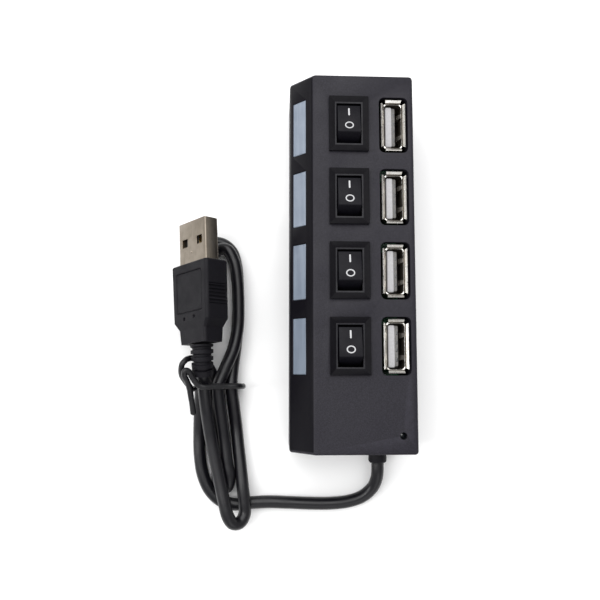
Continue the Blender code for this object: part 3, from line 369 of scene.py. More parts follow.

# %% [markdown]
# ## Frosted windows and the circuit board
#
# The windows are bluish polystyrene with a frosted back, so light goes into them a little and
# they look milky, with faint streaks along the moulding direction.  Their colour is therefore
# made of two stretched noises instead of a grain, with a slow fade of painted shade toward the
# cable end.  The board is green solder mask over copper: a brick pattern's gaps make believable
# straight tracks.

# %% Window and board finishes


def frosted_window():
    """Milky blue-grey: streaks along the hub over slow clouds, and painted shade toward the cable end."""
    material, tree, sockets = new_material("frosted_window", Coat_Roughness=0.25)
    place = add_node(tree, "ShaderNodeTexCoord").outputs["Object"]
    drawn = add_node(tree, "ShaderNodeMapping", {"Vector": place, "Scale": (900.0, 60.0, 900.0)})
    streaks = add_node(tree, "ShaderNodeTexNoise", {"Vector": drawn.outputs[0], "Scale": 1.0,
                                                    "Detail": 4.0})
    clouds = use_group(tree, HANDLING, **{"Size mm": 6.0, "Contrast": 0.8})
    milky = blend_colours(tree, clouds, (0.135, 0.165, 0.215), (0.195, 0.230, 0.285))
    lines = ramp(tree, streaks.outputs["Fac"], 0.42, 0.62, 0.0, 0.45)
    streaked = blend_colours(tree, lines, milky, (0.235, 0.275, 0.335))
    along = add_node(tree, "ShaderNodeSeparateXYZ", {"Vector": place}).outputs["Y"]
    # Painted shade: the window colour darkens toward the cable end.
    shade = ramp(tree, along, 0.005, -0.035, 0.0, 0.6)
    tree.links.new(blend_colours(tree, shade, streaked, (0.095, 0.125, 0.165)), sockets["Base Color"])
    tree.links.new(ramp(tree, clouds, 0.0, 1.0, 0.42, 0.58), sockets["Roughness"])
    tree.links.new(ramp(tree, clouds, 0.0, 1.0, 0.05, 0.25), sockets["Coat Weight"])
    grain = use_group(tree, GRAIN, **{"Size mm": 0.2})
    bump = add_node(tree, "ShaderNodeBump", {"Height": grain, "Distance": 0.006 * MM})
    tree.links.new(bump.outputs[0], sockets["Normal"])
    return material


def solder_mask():
    """Green mask, lighter where tracks run under it and raised there by their thickness."""
    material, tree, sockets = new_material("solder_mask", Specular_IOR_Level=0.5)
    place = add_node(tree, "ShaderNodeTexCoord").outputs["Object"]
    bricks = add_node(tree, "ShaderNodeTexBrick", {"Vector": place, "Scale": 260.0, "Mortar Size": 0.06,
                                                   "Mortar Smooth": 0.3})
    patches = use_group(tree, HANDLING, **{"Size mm": 4.0})
    mask = blend_colours(tree, bricks.outputs["Fac"], (0.010, 0.095, 0.040), (0.030, 0.20, 0.085))
    tree.links.new(mask, sockets["Base Color"])
    tree.links.new(ramp(tree, patches, 0.0, 1.0, 0.25, 0.45), sockets["Roughness"])
    bump = add_node(tree, "ShaderNodeBump", {"Height": bricks.outputs["Fac"], "Distance": 0.03 * MM})
    tree.links.new(bump.outputs[0], sockets["Normal"])
    return material


WINDOW = frosted_window()
BOARD = solder_mask()

# %% [markdown]
# ## Surfaces from arrays
#
# Most new pieces are grids: a table of points with one row for each ring or line, which is
# turned into four-sided faces.  The faces of a grid follow from its shape alone, so one helper
# can build them all with array arithmetic, weld their doubles and turn them outward.

# %% From grids of points to a finished piece


def settle(name, mesh, finish, body, replaces):
    """An object for a mesh, with its finish, which rides on a body and may replace CAD nodes."""
    thing = bpy.data.objects.new(name, mesh)
    bpy.context.scene.collection.objects.link(thing)
    if finish:
        mesh.materials.clear()
        mesh.materials.append(finish)
    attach(thing, body)
    if replaces:
        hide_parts(*replaces)
    return thing


def make_piece(name, grids, finish, body="root", replaces=(), sharp=38.0):
    """A piece from grids: each is (points[row, column], closed, capped).

    Each four neighbouring points make a face.  A closed grid joins its last column to its first,
    and a capped one has its first and last rows filled."""
    points, faces, first = [], [], 0
    for grid, closed, capped in grids:
        grid = np.asarray(grid, float)
        rows, columns = grid.shape[:2]
        index = first + np.arange(rows * columns).reshape(rows, columns)
        left = index if closed else index[:, :-1]
        right = np.roll(index, -1, axis=1) if closed else index[:, 1:]
        faces += np.stack([left[:-1], right[:-1], right[1:], left[1:]], axis=-1).reshape(-1, 4).tolist()
        if capped:
            faces += [index[0][::-1].tolist(), index[-1].tolist()]
        points.append(grid.reshape(-1, 3))
        first += rows * columns
    mesh = bpy.data.meshes.new(name)
    mesh.from_pydata(np.concatenate(points).tolist(), [], faces)
    clean = bmesh.new()
    clean.from_mesh(mesh)
    bmesh.ops.remove_doubles(clean, verts=clean.verts, dist=1e-7)
    bmesh.ops.recalc_face_normals(clean, faces=clean.faces)
    clean.to_mesh(mesh)
    clean.free()
    mesh.shade_smooth()
    mesh.set_sharp_from_angle(angle=math.radians(sharp))
    return settle(name, mesh, finish, body, replaces)


def placed(points, matrix):
    """Points carried by a 4 x 4 matrix: turned by its first three columns, moved by the last."""
    turn = np.array(matrix.to_3x3())
    return np.asarray(points) @ turn.T + np.array(matrix.translation)


# %% Paths and outlines


def smooth_path(points, step):
    """A smooth line through points, with a point about every step.

    Between two points it is their centripetal Catmull-Rom blend: the slope at each point leans
    toward its neighbours, by the square root of how far off they are."""
    p = np.asarray(points, float)
    p = np.vstack([2 * p[0] - p[1], p, 2 * p[-1] - p[-2]])
    knots = np.concatenate([[0], np.cumsum(np.linalg.norm(np.diff(p, axis=0), axis=1) ** 0.5)])
    dense = np.linspace(knots[1], knots[-2], 60 * len(points))
    i = np.clip(np.searchsorted(knots, dense, side="right") - 1, 1, len(p) - 3)
    t = dense[:, None]

    def mix(a, b, ta, tb):
        return ((tb - t) * a + (t - ta) * b) / (tb - ta)

    t0, t1, t2, t3 = (knots[i + k][:, None] for k in (-1, 0, 1, 2))
    p0, p1, p2, p3 = (p[i + k] for k in (-1, 0, 1, 2))
    a1, a2, a3 = mix(p0, p1, t0, t1), mix(p1, p2, t1, t2), mix(p2, p3, t2, t3)
    line = mix(mix(a1, a2, t0, t2), mix(a2, a3, t1, t3), t1, t2)
    run = np.concatenate([[0], np.cumsum(np.linalg.norm(np.diff(line, axis=0), axis=1))])
    even = np.linspace(0, run[-1], max(2, round(run[-1] / step) + 1))
    return np.stack([np.interp(even, run, line[:, k]) for k in range(3)], axis=1)


def path_frames(path):
    """Directions across a path: each starts from the last one, made square to the path there."""
    ahead = np.gradient(path, axis=0)
    ahead /= np.linalg.norm(ahead, axis=1)[:, None]
    side = np.empty_like(path)
    first = np.cross(ahead[0], (0, 0, 1))
    side[0] = first / np.linalg.norm(first)
    for i in range(1, len(path)):
        flat = side[i - 1] - ahead[i] * side[i - 1].dot(ahead[i])
        side[i] = flat / np.linalg.norm(flat)
    return ahead, side, np.cross(side, ahead)


def tube_grid(path, radius, sides):
    """A circle of the path's radius, carried along the path and square to it."""
    _, side, up = path_frames(path)
    turn = np.linspace(0, 2 * math.pi, sides, endpoint=False)[:, None]
    radius = np.broadcast_to(radius, len(path))[:, None, None]
    return path[:, None] + radius * (np.cos(turn) * side[:, None] + np.sin(turn) * up[:, None])


def rounded_outline(width, length, corner, count):
    """Points spaced evenly round a rectangle with round corners, from the middle of its right side.

    Its four arcs are laid end to end, and the straight runs appear between them."""
    quarter = np.linspace(0, math.pi / 2, 9)
    x, y = width / 2 - corner, length / 2 - corner
    middles = ((x, y), (-x, y), (-x, -y), (x, -y))
    arcs = [np.stack([cx + corner * np.cos(quarter + turn), cy + corner * np.sin(quarter + turn)], axis=1)
            for turn, (cx, cy) in zip(np.arange(4) * math.pi / 2, middles)]
    line = np.concatenate([[(width / 2, 0)], *arcs, [(width / 2, 0)]])
    run = np.concatenate([[0], np.cumsum(np.linalg.norm(np.diff(line, axis=0), axis=1))])
    even = np.linspace(0, run[-1], count, endpoint=False)
    return np.stack([np.interp(even, run, line[:, k]) for k in range(2)], axis=1)


def strip_grid(path, width_axis, half_width, thickness):
    """A bent strip: a flat rectangle carried along a path, as wide along width_axis as told.

    The thickness lies square to both the path and the width."""
    ahead = np.gradient(path, axis=0)
    ahead /= np.linalg.norm(ahead, axis=1)[:, None]
    across = np.asarray(width_axis, float)
    out = np.cross(ahead, across)
    half_width = np.broadcast_to(half_width, len(path))[:, None]
    wide, thick = across * half_width, out * thickness / 2
    corners = [path + wide + thick, path - wide + thick, path - wide - thick, path + wide - thick]
    return np.stack(corners, axis=1)


def fade(value, edge, soft):
    """0 below the edge and 1 above it, by a smooth step as wide as soft."""
    t = np.clip((value - edge) / soft + 0.5, 0, 1)
    return t * t * (3 - 2 * t)


# %% Refining a CAD solid


def welded_copy(node):
    """A copy of a CAD node's loose triangles, welded, with its flat faces joined."""
    mesh = NODES[node].data.copy()
    mesh.name = node + "_fine"
    clean = bmesh.new()
    clean.from_mesh(mesh)
    bmesh.ops.remove_doubles(clean, verts=clean.verts, dist=2e-6)
    bmesh.ops.dissolve_limit(clean, angle_limit=math.radians(0.6), verts=clean.verts, edges=clean.edges)
    clean.to_mesh(mesh)
    clean.free()
    return mesh


def refined(node, finish, edge, segments=3, body="root", sharp=38.0, least=28.0):
    """A CAD solid with its sharp edges rounded, which replaces its node."""
    mesh = welded_copy(node)
    mesh.shade_smooth()
    mesh.set_sharp_from_angle(angle=math.radians(sharp))
    piece = settle(node + "_fine", mesh, finish, body, (node,))
    bevel = piece.modifiers.new("round_edges", "BEVEL")
    bevel.width = edge
    bevel.segments = segments
    bevel.limit_method = "ANGLE"
    bevel.angle_limit = math.radians(least)
    bevel.use_clamp_overlap = False
    bevel.miter_outer = "MITER_ARC"
    bevel.harden_normals = True
    return piece


def second_finish(piece, finish, chosen):
    """Give the chosen faces (true or false for each face) a second finish."""
    piece.data.materials.append(finish)
    first = np.empty(len(piece.data.polygons), dtype=np.int32)
    piece.data.polygons.foreach_get("material_index", first)
    piece.data.polygons.foreach_set("material_index", np.where(chosen, 1, first).astype(np.int32))


def face_table(piece, value):
    """A table of each face's normal or center, one row for each face."""
    table = np.empty(len(piece.data.polygons) * 3)
    piece.data.polygons.foreach_get(value, table)
    return table.reshape(-1, 3)


def draft_sides(piece, draft, edge):
    """Lean the long side walls: x moves inward by draft times the depth below the top, as a share.

    Only points within the edge distance of the outer sides move, and the move fades to nothing
    across that distance, so the inside stays as it is."""
    flat = np.empty(len(piece.data.vertices) * 3)
    piece.data.vertices.foreach_get("co", flat)
    x, _, z = flat.reshape(-1, 3).T
    near = np.clip((np.abs(x) - (CASE_HIGH.x - edge)) / edge, 0, 1)
    x -= np.sign(x) * draft * near * np.clip(1 - z / TOP_Z, 0, 1)
    piece.data.vertices.foreach_set("co", flat)


# %% [markdown]
# ## The case and its cover
#
# The upper shell is one injection-moulded piece with a wide flat top, a slanted left face and a
# hole for each thing that looks out of it.  All of its holes are cut already in the CAD solid,
# so remodelling it would only risk moving them.  A welded copy with rounded edges keeps every
# hole where its piece is.  The mould was eroded to a grain on top and left smoother on the
# slanted face, so faces that point that way take a second finish, whose much darker colour is
# painted shade.  The long sides lean in by about two thirds of a millimetre toward the table.

# %% Top case and bottom cover
SIDE_DRAFT, DRAFT_EDGE = 0.65 * MM, 0.9 * MM
case = refined("top_case", CASE_TOP, 0.12 * MM, segments=2)
SLANT_OUT = np.array((-7.0, 0.0, 6.0)) / math.hypot(7.0, 6.0)
on_slant = face_table(case, "normal") @ SLANT_OUT > 0.97
# The slanted faces take the smoother finish, darkened by painted shade.
second_finish(case, CASE_SLANT_SHADED, on_slant)
cover = refined("bottom_cover", COVER_BLACK, 0.25 * MM)
for shell_half in (case, cover):
    draft_sides(shell_half, SIDE_DRAFT, DRAFT_EDGE)
print("case faces", len(case.data.polygons), "on the slant", int(on_slant.sum()))

# %% [markdown]
# ## Screws
#
# Four self-tapping screws hold the cover, and their heads show from below.  A turned head has a
# profile, but its cross recess isn't round, so the head is a polar grid: radius one way, angle
# the other, with the height pushed in wherever the point falls inside the cross.

# %% Screws with a cross recess, sizes in millimetres
SHANK_R, HEAD_R, SCREW_LENGTH = 1.0, 1.9, 8.0
HEAD_ROUND, HEAD_RIM, HEAD_SEAT = 0.2, 0.5, 1.1
HEAD_FACE, HEAD_CROWN = 0.1, 0.25
THREAD_FROM, THREAD_TO = 1.2, 7.0
THREAD_PITCH, THREAD_RIDGE, THREAD_ROOT = 0.8, 0.10, 0.08
CROSS_HALF_W, CROSS_HALF_L, CROSS_DEPTH, CROSS_SOFT = 0.26, 1.15, 0.65, 0.35


def screw_grid(middle):
    """Radius follows a profile up the screw, with a thread that is a cosine of height and angle.

    The head's face sinks inside a rounded cross, which is the nearer of two long boxes."""
    crown = np.linspace(0, HEAD_R - HEAD_ROUND, 26)
    thread = np.linspace(THREAD_FROM, THREAD_TO, 40)
    turn = np.linspace(0, 2 * math.pi, 72, endpoint=False)
    radius = np.concatenate([crown, [HEAD_R, HEAD_R, SHANK_R], np.full(len(thread), SHANK_R), [0.0]])
    height = np.concatenate([HEAD_FACE + HEAD_CROWN * (crown / crown[-1]) ** 4,
                             [HEAD_RIM, HEAD_SEAT, HEAD_SEAT + 0.02], thread, [SCREW_LENGTH]])
    radius, height = (np.tile(line[:, None], len(turn)) for line in (radius, height))
    ridge = THREAD_RIDGE * np.cos(2 * math.pi * thread[:, None] / THREAD_PITCH - turn)
    radius[-1 - len(thread):-1] += ridge - THREAD_ROOT
    x, y = radius * np.cos(turn), radius * np.sin(turn)
    wide, tall = np.abs(x[:len(crown)]), np.abs(y[:len(crown)])
    arm = np.minimum(np.maximum(wide / CROSS_HALF_W, tall / CROSS_HALF_L),
                     np.maximum(tall / CROSS_HALF_W, wide / CROSS_HALF_L))
    height[:len(crown)] += CROSS_DEPTH * (1 - fade(arm, 1.0, CROSS_SOFT))
    return np.stack([x * MM + middle[0], y * MM + middle[1], height * MM], axis=-1)


for number in ROWS:
    low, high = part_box(f"cover_screw_{number}")
    make_piece(f"cover_screw_{number}_fine", [(screw_grid((low + high) / 2), True, False)], SCREW_ZINC,
               replaces=(f"cover_screw_{number}",), sharp=30)

# %% [markdown]
# ## Windows and lights
#
# Each window is a frosted plate set a little below the slanted face.  A welded copy with soft
# edges is all that its shape needs, since its milky look comes from the finish.  Of the lights,
# only the lens under the pin hole can be seen, as a dark dome with one small highlight.

# %% Windows and lenses
for number in ROWS:
    refined(f"led_window_{number}", WINDOW, 0.22 * MM)
    NODES[f"led_{number}"].data.materials[0] = DARK_LENS_AND_SLOT_SHADE
NODES["power_led"].data.materials[0] = DARK_LENS_AND_SLOT_SHADE

# %% [markdown]
# ## Rocker switches
#
# A mini rocker switch is a frame, dished slightly toward the middle, round a see-saw.  The frame
# and the rocker keep their CAD shape, with edges rounded to the small radius of a glossy
# moulding.  The flat rim round the opening is a little more polished, and its lighter colour is
# a painted highlight: those thin lines draw the switch.  The I and O marks are printed ink, so
# they are very flat domes just above the marked face.  They are worked out level, in the
# rocker's own plane, and then tilted with it, so that they stay on it when it moves.

# %% Frames and rockers
RIM_LEAST = 0.5 * MM
for number in ROWS:
    housing = refined(f"switch_housing_{number}", SWITCH_FRAME, 0.09 * MM, segments=2,
                      least=8.0)
    level, height = face_table(housing, "normal")[:, 2] > 0.995, face_table(housing, "center")[:, 2]
    # The level rim faces take the lighter finish, a painted highlight round the opening.
    second_finish(housing, SWITCH_RIM_HIGHLIGHT, level & (height > TOP_Z + RIM_LEAST))
    refined(f"rocker_{number}", SWITCH_ROCKER, 0.06 * MM, segments=2,
            body=f"rocker_{number}")

# %% Printed marks
ROCKER_RISE = 5.0 * MM
ROCKER_TILT = math.radians(12)
MARK_SHIFT = 2.0 * MM
BAR_W, BAR_L = 0.43 * MM, 2.2 * MM
RING_HALF_X, RING_HALF_Y, RING_STROKE = 1.02 * MM, 0.86 * MM, 0.3 * MM
INK = 0.03 * MM


def bar_grid(width, length, x, y, z):
    """A flat dome with a rounded rectangle's outline: rings shrink to the middle as it rises."""
    shrink = np.cos(np.linspace(0, math.pi / 2, 7))[:, None, None]
    rise = INK * np.sin(np.linspace(0, math.pi / 2, 7))
    outline = rounded_outline(width, length, 0.49 * width, 40)
    ring = outline * (1 - (1 - shrink) * np.array((1.0, width / length)))
    height = np.broadcast_to((z + rise)[:, None], ring.shape[:2])
    return np.dstack([ring[..., 0] + x, ring[..., 1] + y, height])


def ring_grid(half_x, half_y, stroke, y, z):
    """An ellipse of ink: a flattened circle of the stroke's width, carried round an ellipse."""
    round_turn = np.linspace(0, 2 * math.pi, 56, endpoint=False)[:, None]
    cross_turn = np.linspace(0, 2 * math.pi, 12, endpoint=False)[None, :]
    reach = stroke / 2 * np.cos(cross_turn)
    grid = np.stack([(half_x + reach) * np.cos(round_turn), y + (half_y + reach) * np.sin(round_turn),
                     z + INK * np.sin(cross_turn) + 0 * round_turn], axis=-1)
    return np.concatenate([grid, grid[:1]])


for number in ROWS:
    hinge = next(joint for joint in frame["record"]["behaviour"]["joints"]
                 if joint["name"] == f"rocker_{number}_tilt")
    tilt = Matrix.Translation(hinge["pos_m"]) @ Matrix.Rotation(-ROCKER_TILT, 4, "X")
    bar = placed(bar_grid(BAR_W, BAR_L, 0, MARK_SHIFT, ROCKER_RISE), tilt)
    ring = placed(ring_grid(RING_HALF_X, RING_HALF_Y, RING_STROKE, -MARK_SHIFT, ROCKER_RISE), tilt)
    make_piece(f"on_mark_{number}", [(bar, True, True)], MARK_WHITE,
               body=f"rocker_{number}")
    make_piece(f"off_mark_{number}", [(ring, True, False)], MARK_WHITE,
               body=f"rocker_{number}")

# %% [markdown]
# ## Ports
#
# A USB-A receptacle is folded from thin plated sheet: a tube with round corners, four lips that
# flare outward just below the case's top, and two sprung fingers that hold the plug.  Bent sheet
# is best drawn as the bend itself, so each lip is a strip carried along an arc, and the tube is a
# rounded outline carried straight up.  Its inside is dull and in shade, and that shade is painted
# into its colour as a dark brown, while the lips are bright, so they are two pieces with two
# finishes.  The tube is painted in shade but for a thin top rim, and so is the lower part of each lip.

# %% Port sizes
SHELL_T = 0.35 * MM
FLANGE_LOW, FLANGE_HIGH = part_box("port_shell_1")
FLANGE_W, FLANGE_L = FLANGE_HIGH.x - FLANGE_LOW.x, FLANGE_HIGH.y - FLANGE_LOW.y
LIP_REACH = 0.7 * MM
PORT_W, PORT_L = FLANGE_W - 2 * LIP_REACH, FLANGE_L - 2 * LIP_REACH
LIP_DROP = 1.1 * MM
LIP_BEND_R = 0.5 * MM
LIP_SINK, LIP_EXTRA, LIP_BELOW = 0.12 * MM, 0.05 * MM, 0.05 * MM
LIP_WIDENING, LIP_T = 0.10, 0.9 * SHELL_T
SIDE_LIP_HALF, END_LIP_HALF = 5.45 * MM, 1.95 * MM
LIP_SHADE = 0.5 * MM
TUBE_ROUND_OUT, TUBE_ROUND_IN = 1.25 * MM, 0.95 * MM
TUBE_RIM, RIM_SHINE = 0.06 * MM, 0.05 * MM
SPRING_PLACES = (-2.9 * MM, 2.9 * MM)
SPRING_T, SPRING_HALF_W, SPRING_LENGTH = 0.22 * MM, 0.75 * MM, 5.0 * MM
SPRING_REACH, SPRING_BELOW, SPRING_OFF = 0.85 * MM, 0.9 * MM, 0.1 * MM
SPRING_NARROWING = 0.35
print("port", round(PORT_W / MM, 2), "x", round(PORT_L / MM, 2), "mm, base at",
      round(FLANGE_LOW.z / MM, 2))

# %% Tube, lips and springs


def lip_grid(middle, out, half_length):
    """A lip: a strip that rises from the tube, bends outward by 45 degrees and runs straight on."""
    out = np.asarray(out, float)
    along = np.array((-out[1], out[0], 0.0))
    turn = np.linspace(0, math.pi / 4, 7)
    bent = LIP_BEND_R * (1 - math.cos(math.pi / 4))
    straight = np.linspace(0, 1, 9)[1:] * (LIP_REACH + LIP_EXTRA - bent)
    reach = np.concatenate([[0.0], LIP_BEND_R * (1 - np.cos(turn))])
    rise = np.concatenate([[-LIP_SINK], LIP_BEND_R * np.sin(turn)])
    reach, rise = (np.concatenate([part, part[-1] + straight]) for part in (reach, rise))
    wall = (PORT_W if abs(out[0]) > 0.5 else PORT_L) / 2 - SHELL_T / 2
    path = (np.asarray(middle) + out * (wall + reach)[:, None]
            + np.outer(rise - rise[-1] + TOP_Z - LIP_BELOW, (0, 0, 1)))
    widening = 1 + LIP_WIDENING * np.clip(rise / rise[-1], 0, 1)
    return strip_grid(path, along, half_length * widening, LIP_T)


def tube_walls(middle):
    """The tube: a rounded outline outside and inside, carried from the board to below the lips."""
    outer = rounded_outline(PORT_W, PORT_L, TUBE_ROUND_OUT, 120)
    inner = rounded_outline(PORT_W - 2 * SHELL_T, PORT_L - 2 * SHELL_T, TUBE_ROUND_IN, 120)
    low, bend = FLANGE_LOW.z, TOP_Z - LIP_DROP
    rings = [(outer, low), (outer, bend - TUBE_RIM), (outer * 0.7 + inner * 0.3, bend),
             (outer * 0.3 + inner * 0.7, bend), (inner, bend - TUBE_RIM), (inner, low), (outer, low)]
    return np.stack([np.column_stack([ring + np.array(middle[:2]), np.full(len(ring), height)])
                     for ring, height in rings])


def spring_grid(middle, y):
    """A sprung finger: it leaves the right wall, bends into the port and touches the wall again."""
    down = np.linspace(0, 1, 15)
    inward = SPRING_REACH * np.sin(math.pi * down) ** 1.5
    x = middle[0] + PORT_W / 2 - SHELL_T - SPRING_OFF - inward
    z = TOP_Z - SPRING_BELOW - SPRING_LENGTH * down
    path = np.column_stack([x, np.full(len(down), middle[1] + y), z])
    half_width = SPRING_HALF_W * (1 - SPRING_NARROWING * (1 - down) ** 2)
    return strip_grid(path, (0, 1, 0), half_width, SPRING_T)


for number in ROWS:
    low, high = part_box(f"port_shell_{number}")
    middle = np.array(((low.x + high.x) / 2, (low.y + high.y) / 2, 0.0))
    lips = [lip_grid(middle, (1, 0, 0), SIDE_LIP_HALF), lip_grid(middle, (-1, 0, 0), SIDE_LIP_HALF),
            lip_grid(middle, (0, 1, 0), END_LIP_HALF), lip_grid(middle, (0, -1, 0), END_LIP_HALF)]
    flared = make_piece(f"port_lips_{number}", [(lip, True, True) for lip in lips], PORT_LIP)
    # The lower part of each lip takes the painted shade of the port's inside.
    second_finish(flared, PORT_PAINTED_SHADE, face_table(flared, "center")[:, 2] < TOP_Z - LIP_SHADE)
    port_tube = make_piece(f"port_tube_{number}", [(tube_walls(middle), True, False)], PORT_PAINTED_SHADE,
                           replaces=(f"port_shell_{number}",), sharp=50)
    # The tube is painted in shade, except a thin top rim in the bright lip finish.
    on_rim = face_table(port_tube, "center")[:, 2] > TOP_Z - LIP_DROP - RIM_SHINE
    second_finish(port_tube, PORT_LIP, on_rim)
    make_piece(f"port_springs_{number}", [(spring_grid(middle, y), True, True) for y in SPRING_PLACES],
               SPRING_STEEL)

# %% [markdown]
# ## Tongues and contacts
#
# The white tongue carries four contacts in the slots of a lower, greyer ledge on its right.  The
# tongue is a rounded outline that shrinks near its tip, because a moulded tip is never square,
# and each contact is a strip that leaves its slot, bulges out and turns back.

# %% Tongue, ledge, block and contacts
TONGUE_X, TONGUE_T, TONGUE_L = -1.05 * MM, 1.85 * MM, 11.1 * MM
TONGUE_ROUND, TONGUE_TIP, TONGUE_ROOT = 0.45 * MM, 0.3 * MM, 2.0 * MM
LEDGE_X = TONGUE_X + TONGUE_T / 2
LEDGE_OUT, LEDGE_DROP, LEDGE_Y = 0.9 * MM, 0.45 * MM, 0.1 * MM
LEDGE_L, LEDGE_ROUND, LEDGE_TIP = TONGUE_L - 0.5 * MM, 0.3 * MM, 0.15 * MM
SLOT_W, SLOT_L, SLOT_SUNK = 0.42 * MM, 1.1 * MM, 0.01 * MM
SLOT_X = LEDGE_X + 0.6 * LEDGE_OUT
BLOCK_T, BLOCK_ROUND, BLOCK_TIP = 3.6 * MM, 0.8 * MM, 0.2 * MM
CONTACT_PLACES = np.array((-3.5, -1.0, 1.0, 3.5)) * MM
CONTACT_HALF_W, CONTACT_T, CONTACT_BULGE = 0.5 * MM, 0.2 * MM, 0.42 * MM
CONTACT_SUNK, CONTACT_BELOW, CONTACT_LENGTH = 0.15 * MM, 3.0 * MM, 5.5 * MM
LEAST_ROUND = 0.05 * MM


def rounded_post(middle, width, length, corner, low, high, tip):
    """An outline carried upward whose last rings shrink along a quarter arc, by tip at the top."""
    turn = np.linspace(0, math.pi / 2, 6)
    inset = np.concatenate([[0.0], tip * (1 - np.cos(turn))])
    height = np.concatenate([[low], high - tip + tip * np.sin(turn)])
    outlines = [rounded_outline(width - 2 * d, length - 2 * d, max(corner - d, LEAST_ROUND), 96)
                for d in inset]
    return np.stack([np.column_stack([outline + np.array(middle[:2]), np.full(len(outline), z)])
                     for outline, z in zip(outlines, height)])


def contact_grid(middle, y):
    """A contact: it leans out of its slot to a bulge below the tip and turns back in."""
    down = np.linspace(0, 1, 15)
    bulge = CONTACT_BULGE * np.sin(math.pi * down) ** 0.8
    x = middle[0] + LEDGE_X + LEDGE_OUT - CONTACT_SUNK + bulge
    z = TOP_Z - CONTACT_BELOW - CONTACT_LENGTH * down ** 1.3
    path = np.column_stack([x, np.full(len(down), middle[1] + y), z])
    return strip_grid(path, (0, 1, 0), CONTACT_HALF_W, CONTACT_T)


for number in ROWS:
    low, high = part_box(f"port_tongue_{number}")
    middle = np.array(((low.x + high.x) / 2, (low.y + high.y) / 2, 0.0))
    blade = rounded_post(middle + (TONGUE_X, 0, 0), TONGUE_T, TONGUE_L, TONGUE_ROUND,
                         low.z + TONGUE_ROOT, high.z, TONGUE_TIP)
    make_piece(f"port_tongue_{number}_fine", [(blade, True, True)], TONGUE_WHITE,
               replaces=(f"port_tongue_{number}",))
    ledge = rounded_post(middle + (LEDGE_X, LEDGE_Y, 0), 2 * LEDGE_OUT, LEDGE_L, LEDGE_ROUND,
                         low.z + TONGUE_ROOT, high.z - LEDGE_DROP, LEDGE_TIP)
    make_piece(f"port_ledge_{number}", [(ledge, True, True)], LEDGE_GREY_AND_INSULATOR_SHADE)
    # Each slot is a flat dark bar just below the ledge's top: painted shade for the slot's depth.
    slots = [bar_grid(SLOT_W, SLOT_L, middle[0] + SLOT_X, middle[1] + y,
                      high.z - LEDGE_DROP - SLOT_SUNK) for y in CONTACT_PLACES]
    make_piece(f"port_slots_{number}", [(slot, True, True) for slot in slots], DARK_LENS_AND_SLOT_SHADE)
    block = rounded_post(middle, high.x - low.x, high.y - low.y, BLOCK_ROUND, low.z,
                         low.z + BLOCK_T, BLOCK_TIP)
    # The block's dark colour is painted shadow at the bottom of the port.
    make_piece(f"port_block_{number}", [(block, True, True)], BLOCK_PAINTED_SHADOW)
    contacts = [(contact_grid(middle, y), True, True) for y in CONTACT_PLACES]
    make_piece(f"port_contacts_{number}", contacts, SPRING_STEEL)

# %% [markdown]
# ## The plug
#
# The plug's grip is soft PVC moulded over the shell.  It has a shallow panel on each wide face,
# two pinholes where the mould held the shell, and a patch of grip ribs on each narrow side.  The
# body is a rounded rectangle carried from the front rim over the shoulders to the neck.  Then
# every point moves inward by the depth that the panel, the pinholes and the ribs have there,
# which gives soft moulded detail with no cutting.

# %% The plug's place
PLUG_AT = Vector((-41.1, 0.5, 12.4)) * MM
PITCH, ROLL, YAW = (math.radians(angle) for angle in (-4, -47, 3))
PLUG_PLACE = (Matrix.Translation(PLUG_AT) @ Matrix.Rotation(YAW, 4, "Z")
              @ Matrix.Rotation(PITCH, 4, "X") @ Matrix.Rotation(ROLL, 4, "Y"))
SHELL_W, SHELL_H = 12.0 * MM, 4.5 * MM

# %% Moulded grip, sizes in millimetres
GRIP_AT = np.array((0.0, 16.0, 18.2, 22.0))
GRIP_HALF_W = np.array((7.9, 7.5, 5.7, 5.45))
GRIP_HALF_T = np.array((3.8, 3.8, 3.3, 3.05))
GRIP_ROUND, GRIP_RIM, POCKET_DEPTH, POCKET_GAP = 1.0, 0.6, 0.9, 0.02
PANEL_HALF, PANEL_MIDDLE, PANEL_ROUND = 4.9, -8.1, 0.7
PANEL_DEPTH, PANEL_SOFT = 0.16, 0.25
LINE_INSIDE, LINE_HALF, LINE_DEPTH, LINE_SOFT = 0.12, 0.16, 0.20, 0.16
PINHOLES = ((1.9, -15.05), (-2.4, -15.3))
PINHOLE_R, PINHOLE_DEPTH, PINHOLE_SOFT = 0.42, 0.6, 0.25
RIB_MIDDLE, RIB_HALF_Y, RIB_HALF_Z, RIB_PITCH, RIB_DEPTH = -9.4, 2.75, 3.0, 0.96, 0.42
RIB_END_SOFT, RIB_SIDE_SOFT, RIB_SOFT = 0.2, 0.3, 1.3


def grip_depth(x, y, z, wide):
    """How far the surface is pushed in, in mm: a panel with an outline, two pinholes, six ribs.

    The panel is where the distance to a rounded square is below zero, and its line is where it
    is near zero.  A rib's groove is where a cosine along the grip is above zero."""
    x, y, z = x / MM, y / MM, z / MM
    beyond = np.stack([np.abs(x) - PANEL_HALF, np.abs(y - PANEL_MIDDLE) - PANEL_HALF])
    outside = np.linalg.norm(np.maximum(beyond, 0), axis=0)
    to_edge = outside + np.minimum(beyond.max(axis=0), 0) - PANEL_ROUND
    panel = PANEL_DEPTH * fade(-to_edge, 0.0, PANEL_SOFT)
    panel += LINE_DEPTH * fade(-np.abs(to_edge + LINE_INSIDE), -LINE_HALF, LINE_SOFT)
    holes = sum(PINHOLE_DEPTH * fade(-np.hypot(x - hole_x, y - hole_y), -PINHOLE_R, PINHOLE_SOFT)
                for hole_x, hole_y in PINHOLES)
    on_side = (fade(-np.abs(z), -RIB_HALF_Z, RIB_SIDE_SOFT)
               * fade(-np.abs(y - RIB_MIDDLE), -RIB_HALF_Y, RIB_END_SOFT))
    wave = np.cos(2 * math.pi * (y - RIB_MIDDLE) / RIB_PITCH)
    return np.where(wide, panel + holes, RIB_DEPTH * on_side * fade(wave, 0.0, RIB_SOFT))


